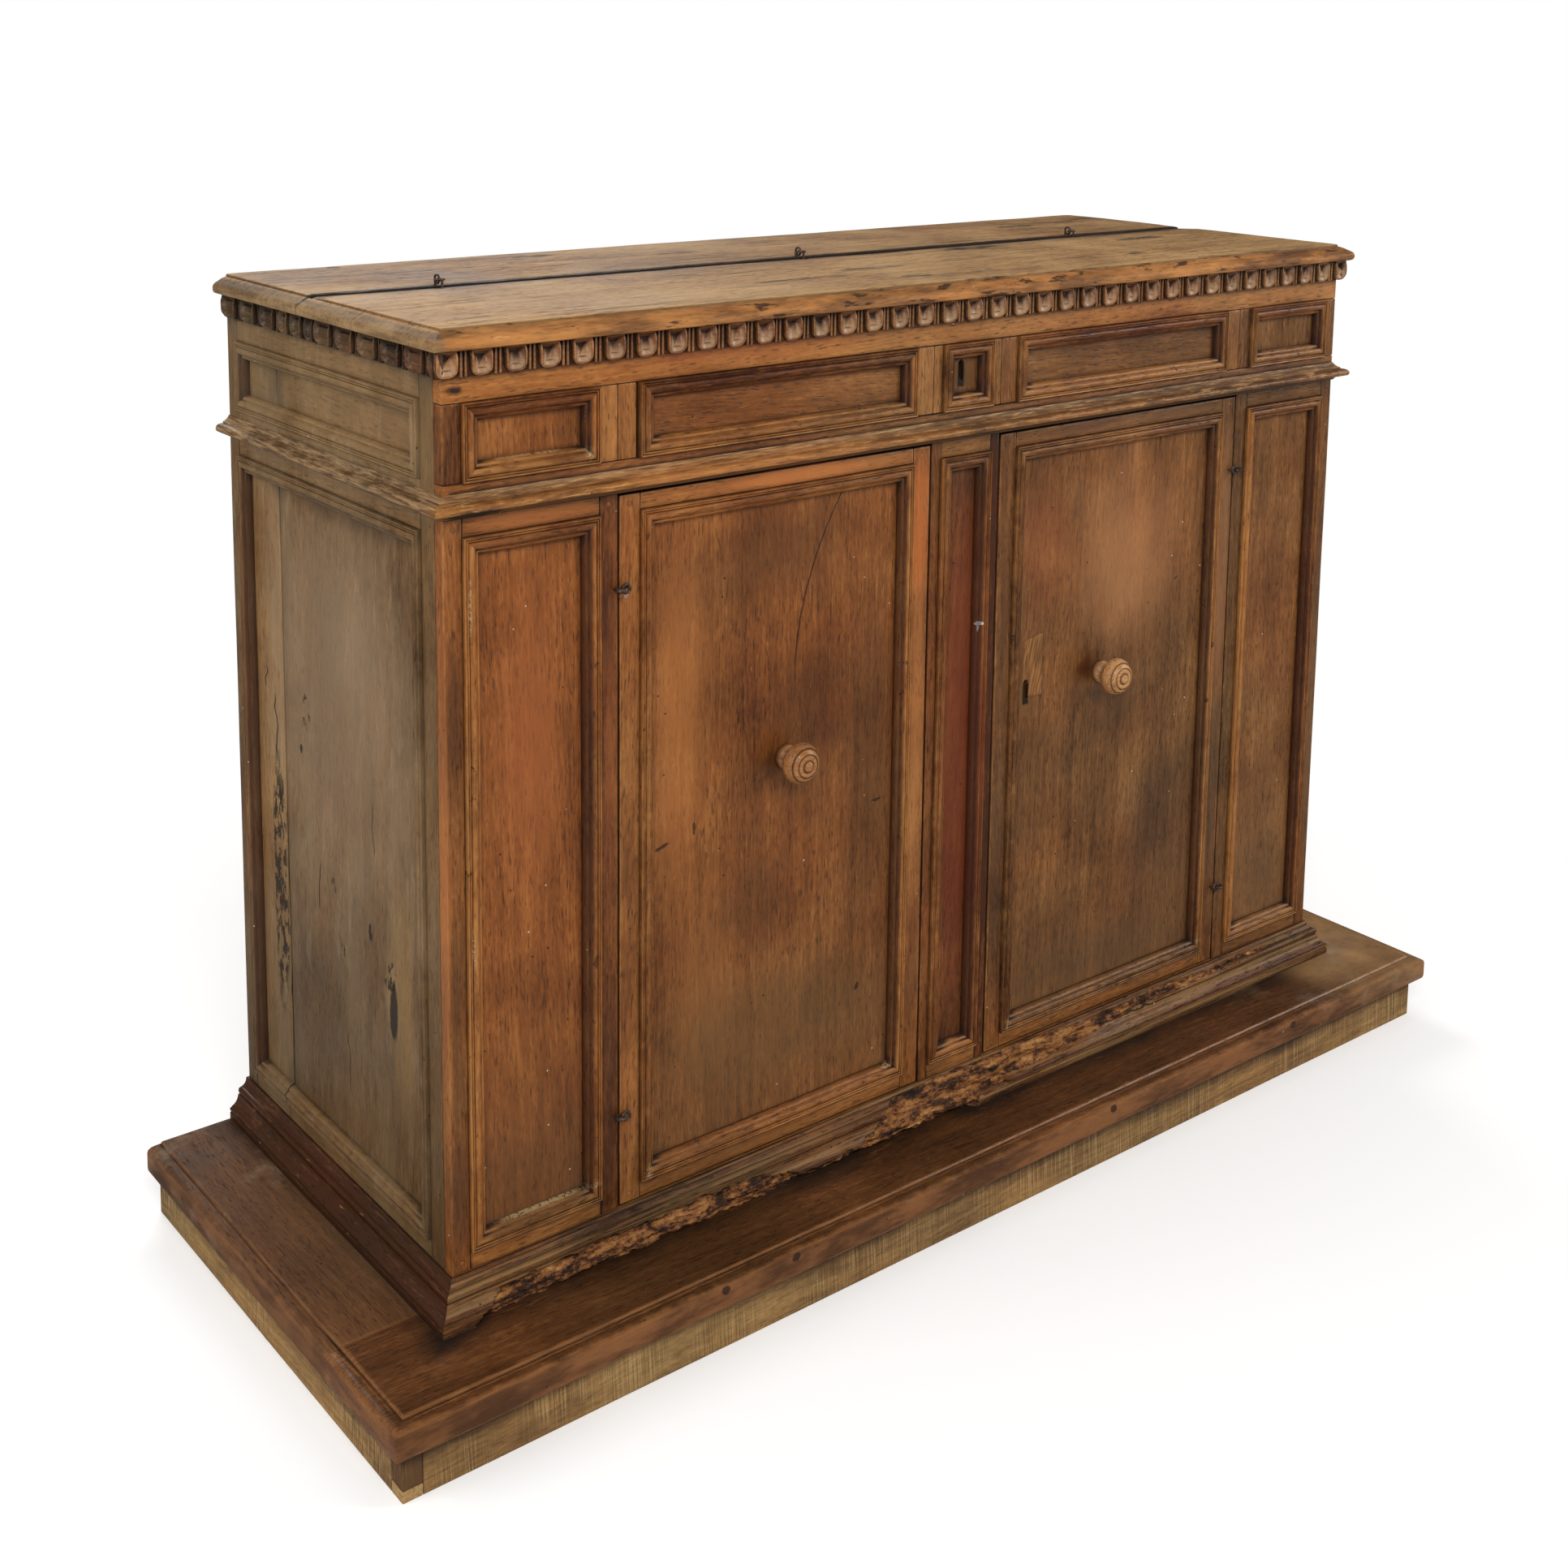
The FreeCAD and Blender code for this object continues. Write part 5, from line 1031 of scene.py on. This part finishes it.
for word, x in (("left", -.282), ("right", .268)):
    turned = bmesh.new()
    line = [turned.verts.new((x + r, y, .639)) for r, y in KNOB]
    edges_of = [turned.edges.new(pair) for pair in zip(line, line[1:])]
    bmesh.ops.spin(turned, geom=line + edges_of, cent=(x, -.22, .639), axis=(0, 1, 0), angle=math.tau, steps=48,
                   use_merge=True)
    bmesh.ops.remove_doubles(turned, verts=turned.verts, dist=1e-5)
    bmesh.ops.recalc_face_normals(turned, faces=turned.faces)
    knob = Bench(word + "_door_turned_knob")
    knob.lay(turned, "x", (x, -.22, .639), (.1, .5, .15))
    knob.done(word + "_door", "turned_walnut", turned_walnut, word + "_door_knob", sag=.0003)


# The carved strips: a row of scooped tongues with raised rims, cut in short walnut
# lengths that are glued under the top. The front one lifts with the lid.

def scooped(wood):
    """Painted highlight low in each scoop of the front strip, pale where the lamps catch the bowl, with its roughness
    lowered there too.
    """
    x, y, z = wood.place
    rub_and_highlight = wood.kept("raw") * y.over(-.2062, -.2078)
    wood.stain(rub_and_highlight.over(.20, .90) * .48, (192, 160, 126))
    wood.dull -= rub_and_highlight * .14


carved_walnut = timber("carved_walnut", olive=((46, 35, 22), (92, 72, 47), (134, 111, 78)),
                       warm=((62, 33, 17), (118, 72, 42), (164, 112, 70)), worn=(184, 132, 84), dirt_and_shade=(32, 18, 10),
                       grain=.6, pores=.3, gloss=.34, marks=scooped)


def stand_on(origin, along, out):
    """The place of a strip: its length along x, its face along y, its height along z."""
    along, out = Vector(along), Vector(out)
    return Matrix.Translation(origin) @ Matrix((along, out, (0, 0, 1))).transposed().to_4x4()


def carved(bench, place, grain, start, end, tongues, cast):
    """A length of strip: a thin back, scooped tongues with raised rims, and reeds in the gaps."""
    def fixed(part, shade):
        part.transform(place)
        if part.calc_volume(signed=True) < 0:
            bmesh.ops.reverse_faces(part, faces=part.faces[:])
        bench.lay(part, grain, place @ Vector(((start + end) / 2, 0, 0)), shade)

    back = block(Vector((start, .0002, 0)), Vector((end, .0030, .0288)))
    bench.saw(back, Vector((start, 0, 0)), Vector((end, .003, .0288)), .03)
    fixed(back, Vector(cast) + Vector((-.9, 0, -.3)))
    for middle, width in tongues:
        half, part = width / 2, bmesh.new()
        outline = [(-half, .0288), (-half, .0205), (-half, .0130)]
        for t in range(15, 180, 15):
            across, down = math.cos(math.radians(t)), math.sin(math.radians(t))
            outline.append((-half * math.copysign(abs(across) ** .72, across), .0128 - .0126 * down ** .72))
        outline += [(half, .0130), (half, .0205), (half, .0288), (half * .33, .0288), (-half * .33, .0288)]
        face = part.faces.new([part.verts.new((middle + u, .0012, w)) for u, w in outline])
        grown = bmesh.ops.extrude_face_region(part, geom=[face], use_keep_orig=True)["geom"]
        for v in points(grown):
            v.co.y = .0062 + .0040 * min(1, v.co.z / .009) ** .6 - .0022 * max(0, (v.co.z - .020) / .0088) ** 1.5
        bmesh.ops.recalc_face_normals(part, faces=part.faces)
        front = max(part.faces, key=lambda f: f.calc_center_median().y)
        if front.normal.y < 0:
            bmesh.ops.reverse_faces(part, faces=part.faces[:])
        jitter, hollow = bench.chance.uniform(.85, 1.15), part.verts.layers.float.new("raw")
        for thick, depth in ((.0004, -.0003), (.0015, -.0004), (.0007, .0010), (.0014, .0018), (.0018, .0020),
                             (.0022, .0016)):
            bmesh.ops.inset_region(part, faces=[front], thickness=thick * min(1, width / .024), depth=0,
                                   use_even_offset=True)
            for v in front.verts:
                climb = min(1, max(0, (v.co.z - .003) / .021))
                v.co.y -= depth * ((.35 + .75 * climb * climb) * jitter if depth > 0 else 1)
                v[hollow] = max(0, depth / .0016) * (1 - climb)
        for v in part.verts:
            v.co += noise.noise_vector(v.co * 160 + Vector((middle * 40, 0, 0))) * .0003
        fixed(part, Vector(cast) + Vector((bench.chance.uniform(-.2, .2), 0, 0)))
    gaps = [(a + wide_a / 2, b - wide_b / 2) for (a, wide_a), (b, wide_b) in zip(tongues, tongues[1:])]
    for left, right in gaps:
        middle, room = (left + right) / 2, right - left
        for aside in ((-.0027, .0027) if room > .010 else (0,)):
            reed = block(Vector((middle + aside - .0016, .0021, .0002)),
                         Vector((middle + aside + .0016, .0067, .0286)))
            bmesh.ops.bevel(reed, geom=reed.edges[:], offset=.0012, offset_type="OFFSET", segments=2, profile=.5,
                            affect="EDGES", material=-1)
            fixed(reed, Vector(cast) + Vector((-.25, 0, 0)))


STRIP_FOOT = 1.148
row = [(-.742 + .0412222 * n, .0248) for n in range(37)]
strip = Bench("lid_carved_front_strip")
carved(strip, stand_on((0, FRONT, STRIP_FOOT), (1, 0, 0), (0, -1, 0)), "x", -.7548, .7548, row, (.15, .75, .7))
strip.done("lid", "carved_walnut", carved_walnut, "lid_carved_front", sag=.0003)
fore = ((-.2055, .017), (-.166, .038), (-.113, .039), (-.059, .040), (-.005, .039), (.049, .039), (.0835, .021))
aft = ((.1175, .028), (.152, .024), (.197, .038), (.252, .039), (.3075, .038))
strip = Bench("lid_carved_return_strips")
for side in (-1, 1):
    carved(strip, stand_on((side * SIDE, 0, STRIP_FOOT), (0, 1, 0), (side, 0, 0)), "y", -.2058, .0976, fore,
           (-.35, .3, .35))
strip.done("lid", "carved_walnut", carved_walnut, "lid_carved_returns", sag=.0003)
strip = Bench("rear_carved_strip_lengths")
for side in (-1, 1):
    carved(strip, stand_on((side * SIDE, 0, STRIP_FOOT), (0, 1, 0), (side, 0, 0)), "y", .1004, .3336, aft,
           (-.35, .3, .35))
strip.done("carcase", "carved_walnut", carved_walnut, "rear_carved_strips", sag=.0003)


# The top: a lid board and a fixed board behind it, both sun-bleached and cracked,
# with one moulded edge round three sides. The joint between them has broken open.

TOP_EDGE = ((.004, 1.177), (.0012, 1.1785), (.0002, 1.181), (0, 1.1835), (.0003, 1.1862), (.0014, 1.1882),
            (.0030, 1.1898), (.0052, 1.1912), (.0082, 1.1928), (.0112, 1.1946), (.0140, 1.1962), (.0162, 1.1970),
            (.0176, 1.1971), (.0178, 1.1990), (.0184, 1.1999), (.0200, 1.2005))


def top_marks(wood):
    """Long drying cracks along the boards, knots and torn grain, and a golden corner where hands pass. Painted light
    too: a highlight along the lid's rear edge, shade inside the open joint, and a shadow in the step below the edge.
    """
    x, y, z = wood.place
    crack = wood.cloud(1, 4, .55, at=wood.point(x * 1.3, y * 26, 0))
    dash = wood.cloud((10, 150, 1), 3, .62, shift=2)
    wood.stain(dash.over(.58, .67) * .58, (76, 50, 30))
    wood.stain(dash.over(.44, .30) * .34, (216, 174, 116))
    line = crack.within(.5, .010) * wood.cloud(1, 1, at=wood.point(x * 3, y * 9, 2)).over(.48, .62)
    wood.stain(line * .75, (58, 38, 24))
    torn = wood.cloud((30, 150, 60), 4, .7)
    for centre, reach in (((-.030, -.056, 0), (.060, .016, 0)), ((-.034, -.150, 0), (.030, .012, 0)),
                          ((.240, .050, 0), (.085, .024, 0)), ((.560, .012, 0), (.060, .016, 0)),
                          ((-.180, -.095, 0), (.090, .008, 0)), ((.030, -.215, 0), (.060, .016, 0)),
                          ((-.560, .092, 0), (.080, .012, 0)), ((-.330, .290, 0), (.040, .012, 0)),
                          ((-.150, .220, 0), (.050, .008, 0)), ((.520, .240, 0), (.050, .014, 0)),
                          ((.400, -.120, 0), (.024, .012, 0))):
        spot = wood.patch(centre, reach, .5)
        wood.stain(spot * torn.over(.34, .48) * .8, (66, 44, 26))
        wood.stain(spot * torn.over(.50, .56), (32, 21, 13))
        wood.relief -= spot * torn.over(.5, .56) * 2.5
    bleached = wood.cloud(3.3, 4, .6, .6).over(.40, .66) * z.over(1.1985, 1.2003)
    wood.stain(bleached * .40, (212, 172, 116))
    seam = (y - .099).within(0, .014) * wood.cloud((16, 60, 1), 4, .7).over(.45, .60)
    seam *= (x - .13).within(0, .45).over(0, .3)
    wood.stain(seam * .85, (40, 27, 19))
    # Painted highlight: a pale line along the lid's rear edge, beside the open joint.
    lip = y.over(.0890, .0925) * y.over(.0968, .0958) * z.over(1.195, 1.197)
    wood.stain(lip * torn.over(.3, .6) * .5, (188, 164, 150))
    # Painted shade: near-black on the faces inside the open joint between the boards.
    wood.stain(y.over(.0970, .0976) * y.over(.1066, .1052) * z.over(1.186, 1.190), (24, 16, 11))
    stub = wood.patch((-.607, .322, 1.2), (.012, .009, .02), .3)
    wood.stain(stub * .9, (46, 36, 30))
    wood.relief += stub * 2
    gold = wood.patch((-.762, -.223, 1.185), (.070, .050, .030), .8)
    wood.stain(gold * .8, wood.blend(torn.over(.45, .6), paint(168, 108, 48), paint(222, 172, 104)))
    rub_and_highlight = wood.cloud((7, 7, 50), 4, .7)
    nose = z.over(1.1978, 1.1962) * y.over(-.2000, -.2080)
    wood.stain(nose * .85, wood.blend(rub_and_highlight.over(.34, .62), paint(104, 62, 30), paint(184, 120, 60)))
    wood.stain(nose * rub_and_highlight.over(.64, .70) * .8, (216, 160, 96))
    wood.stain(nose * wood.cloud((16, 16, 90), 4, .7, shift=4).over(.58, .66) * .85, (44, 28, 18))
    end = z.over(1.1978, 1.1962) * x.over(-.745, -.752)
    wood.stain(end * .7, wood.blend(rub_and_highlight.over(.34, .62), paint(84, 66, 44), paint(146, 120, 84)))
    # Painted shadow: a dark band in the small step just below the top's edge, all round.
    wood.stain(z.over(1.1965, 1.1972) * z.over(1.1998, 1.1990) * .6, (62, 42, 26))
    wood.relief -= line * 2.5
    wood.dull += .08


top_walnut = timber("top_walnut", olive=((84, 58, 32), (142, 104, 60), (184, 142, 88)),
                    warm=((94, 58, 29), (154, 108, 60), (196, 149, 92)), worn=(208, 162, 102), dirt_and_shade=(46, 29, 16),
                    grain=1.2, pores=.8, gloss=.52, bump=.8, marks=top_marks)


def broken(x):
    """How far the joint has broken open at a place along it."""
    wide = max(0.0, 1 - ((x - .13) / .42) ** 2) + .35 * max(0.0, 1 - ((x + .45) / .25) ** 2)
    gap = .0006 + .0042 * wide * (1 + .5 * noise.noise((x * 7, 1, 0)))
    return gap + .0014 * abs(noise.noise((x * 45, 4, 0))) + .004 * max(0.0, noise.noise((x * 13, 9, 0)) - .2)


def open_joint(side):
    """Pulls an edge back from the joint in ragged steps, and rounds its top where it has splintered."""
    def shaped(part):
        for v in part.verts:
            near = max(0.0, 1 - abs(v.co.y - .0985) / .045)
            if near > 0 and -SIDE < v.co.x < SIDE:
                v.co.y += side * broken(v.co.x) * near
                if v.co.z > 1.19:
                    v.co.z -= .0030 * near * near if side < 0 else 0
                    v.co.z -= .0008 + .0014 * abs(noise.noise((v.co.x * 30, side, 2))) if near > .93 else 0
            worn = (max(0.0, v.co.x - .725) / .037) * (max(0.0, v.co.y - .292) / .042)
            v.co.x -= .012 * worn
            v.co.y -= .010 * worn
            dip = (.0007 * noise.noise((v.co.x * 3.1, v.co.y * 6, 8))
                   + .0004 * noise.noise((v.co.x * 12, v.co.y * 20, 3)))
            if v.co.z > 1.196:
                v.co.z += dip - .0004
            elif v.co.y < -.2 and v.co.z > 1.179:
                v.co.y += max(0.0, noise.noise((v.co.x * 22, 5, v.co.z * 60)) - .30) * .004
    return shaped


TOP = 1.2005
lid = Bench("lid_board_moulded")
slab(lid, (-.762, -.223, UNDER_TOP), (.762, .098, TOP), TOP_EDGE, (1, 1, 1, 0), "x", (.1, .45, .9),
     every=(.012, .04, .04), shape=open_joint(-1))
lid.done("lid", "top_walnut", top_walnut, "lid_board", sag=.0004)
rear = Bench("rear_top_board_moulded")
slab(rear, (-.762, .1005, UNDER_TOP), (.762, REAR, TOP), TOP_EDGE, (1, 1, 0, 0), "x", (.0, .4, .9),
     every=(.012, .04, .04), shape=open_joint(.35))
rear.done("carcase", "top_walnut", top_walnut, "rear_top_board", sag=.0004)


# The inside and the back: rough pine boards, never polished, that keep the shape
# that they were cut to.

def nailed(wood):
    """Rows of rusted nails, and tide marks where damp has climbed."""
    x, y, z = wood.place
    aside = (((x + .723) / .1446).sum("FRACT") - .5) * .1446
    for level in (.125, .640, 1.150):
        apart = (aside * aside + (z - level) * (z - level)).sum("SQRT")
        wood.stain(apart.over(.016, .003) * .5, (70, 44, 26))
        wood.stain(apart.over(.0036, .0030), (44, 32, 26))
        wood.relief += apart.over(.0036, .0030) * 2
    tide = (z + (wood.cloud((3, 3, 1), 3, .6) - .5) * .5).over(.42, .16)
    wood.stain(tide * .45, (86, 64, 40))
    kerf = wood.cloud(1, 1, at=wood.point(z * 300, x * 5, 0)).over(.52, .64) * wood.cloud(3, 2).over(.45, .6)
    wood.stain(kerf * .35, (104, 80, 50))
    wood.relief -= kerf
    wood.dull += .08


rear_boards = Bench("nailed_back_boards")
for n in range(5):
    x = -.723 + n * .2892
    rear_boards.board((x, .320, DECK), (x + .2892 - (.001 if n < 4 else 0), REAR, UNDER_TOP), "z", (.0, .35, .4),
                      bands=(.006,), every=.09)
back_pine = timber("back_pine", **RAW, grain=1.2, pores=.35, gloss=.64, bump=.7, marks=nailed)
rear_boards.done("carcase", "raw_pine", back_pine, "back_boards", sag=.0003)


def coat(name, finish):
    """Lays a finish on a solid that is shown as it is."""
    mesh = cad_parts[name].data
    mesh.materials.clear()
    mesh.materials.append(finish)


inside_pine = {}
for name in ("platform_bearers", "platform_rear_board", "bottom_board", "shelf", "well_floor", "cleats",
             "turn_button"):
    turn = (0, math.pi / 2, 0) if name == "turn_button" else (0, 0, 0)
    if turn not in inside_pine:
        inside_pine[turn] = timber("inside_pine_%d" % len(inside_pine), **RAW, grain=1.1, pores=.3, gloss=.64,
                                   bump=.6, carried=turn)
    coat(name, inside_pine[turn])
coat("front_bottom_rail", timber("foot_rail_walnut", **WALNUT, carried=(0, 0, 0)))


# The iron: hand-forged wire eyes for hinges, and the locks with their bolts, all
# brown with age and rubbed bright where they move.

def forged():
    """Rough brown iron, rubbed bright in places."""
    iron = Finish("forged_iron")
    rust, scale = iron.cloud(190, 5, .7), iron.cloud(900, 2, .6)
    bare = rust.over(.62, .70)
    brown = iron.ramp(rust * .8 + scale * .2, (
        (.30, (28, 22, 18)), (.50, (66, 50, 40)), (.62, (112, 82, 58)), (.74, (166, 148, 128))))
    uneven = iron.node("ShaderNodeBump", values={"Height": rust + scale * .4, "Distance": .0006, "Strength": .7})
    return iron.close(iron.node("ShaderNodeBsdfPrincipled", values={
        "Base Color": brown, "Metallic": bare * .5 + .35, "Roughness": .62 - bare * .15 + (scale - .5) * .2,
        "Normal": uneven}))


def aimed(place, way):
    """The place of something whose own upward direction is turned along way."""
    return Matrix.Translation(place) @ way.to_track_quat("Z", "Y").to_matrix().to_4x4()


def wire_eye(bench, centre, facing, leg, way, long, wire=.0020):
    """An eye bent from iron wire on a mandrel, and its leg, driven into the wood and clenched."""
    centre, facing, leg, way = Vector(centre), Vector(facing), Vector(leg), Vector(way)
    part = bmesh.new()
    aside = (leg - centre).normalized()
    bmesh.ops.create_circle(part, segments=8, radius=wire)
    bmesh.ops.transform(part, verts=part.verts, matrix=aimed(centre + aside * .0050, facing.cross(aside)))
    bmesh.ops.spin(part, geom=part.verts[:] + part.edges[:], cent=centre, axis=facing, angle=math.tau, steps=22,
                   use_merge=True)
    bmesh.ops.remove_doubles(part, verts=part.verts, dist=1e-6)
    shank = bmesh.ops.create_cone(part, cap_ends=True, segments=8, radius1=.0016, radius2=.0009, depth=long)["verts"]
    bmesh.ops.transform(part, verts=shank, matrix=aimed(leg + way * long / 2, way))
    bmesh.ops.subdivide_edges(part, edges=[e for e in part.edges if e.calc_length() > long * .8], cuts=4)
    for v in part.verts:
        v.co += noise.noise_vector(v.co * 210) * .0007
    bmesh.ops.recalc_face_normals(part, faces=part.faces)
    bench.lay(part, "z", centre, (0, .5, .5))


iron = forged()
fixed_eyes = Bench("door_fixed_wire_eyes")
lid_fixed, lid_moving = Bench("lid_fixed_wire_eyes"), Bench("lid_moving_wire_eyes")
for side, word in ((-1, "left"), (1, "right")):
    moving = Bench(word + "_door_wire_eyes")
    for z in (.890, .262):
        wire_eye(fixed_eyes, (side * .528, -.213, z), (0, 0, 1), (side * .533, -.213, z), (0, 1, 0), .016)
        wire_eye(moving, (side * .521, -.213, z), (0, 1, 0), (side * .516, -.213, z), (0, 1, 0), .016)
    moving.done(word + "_door", "iron", iron, word + "_door_eyes", sag=0)
fixed_eyes.done("carcase", "iron", iron, "door_fixed_eyes", sag=0)
for x in (-.580, -.030, .493):
    wire_eye(lid_fixed, (x, .101, 1.207), (1, 0, 0), (x, .106, 1.207), (0, 0, -1), .016, .0014)
    wire_eye(lid_moving, (x, .094, 1.207), (0, 0, 1), (x, .089, 1.207), (0, 0, -1), .016, .0014)
lid_fixed.done("carcase", "iron", iron, "lid_fixed_eyes", sag=0)
lid_moving.done("lid", "iron", iron, "lid_moving_eyes", sag=0)
for name in ("door_lock_case", "lid_lock_case", "door_lock_bolt", "lid_lock_bolt", "lid_staple", "turn_button_pin"):
    coat(name, iron)


# Age: how far each point is sheltered by the pieces round it, which the finishes lay on as settled grime
# and as painted occlusion shade; hands and brooms rub the arrises that stand out.

everything = bmesh.new()
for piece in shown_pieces():
    everything.from_mesh(piece.data)
shelter = BVHTree.FromBMesh(everything)
everything.free()
REACH, CLEAR, RAYS, GOLDEN_ANGLE = .045, .0006, 14, 2.399963  # how far a point looks round, and in how many ways
rays = []
for n in range(RAYS):
    lift, turn = math.sqrt((n + .5) / RAYS), n * GOLDEN_ANGLE
    flat = math.sqrt(1 - lift * lift)
    rays.append(Vector((flat * math.cos(turn), flat * math.sin(turn), lift)))
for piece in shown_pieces():
    mesh = piece.data
    if "grain" not in mesh.attributes:
        continue
    shape = bmesh.new()
    shape.from_mesh(mesh)
    wears, grime_and_shade_values = [], []
    for v in shape.verts:
        proud = 0.0
        for edge in v.link_edges:
            if len(edge.link_faces) == 2:
                proud += edge.calc_face_angle_signed(0)
        wears.append(max(0.0, min(1.0, proud / 1.1)))
        normal = v.normal if v.normal.length > .5 else Vector((0, 0, 1))
        turned = normal.to_track_quat("Z", "Y")
        start, hidden = v.co + normal * CLEAR, 0.0
        for ray in rays:
            hit = shelter.ray_cast(start, turned @ ray, REACH)[3]
            if hit is not None:
                hidden += (1 - hit / REACH) ** .5
        grime_and_shade_values.append(hidden / RAYS)
    shape.free()
    for name, values in (("wear", wears), ("grime", grime_and_shade_values)):
        mesh.attributes.new(name, "FLOAT", "POINT").data.foreach_set("value", values)
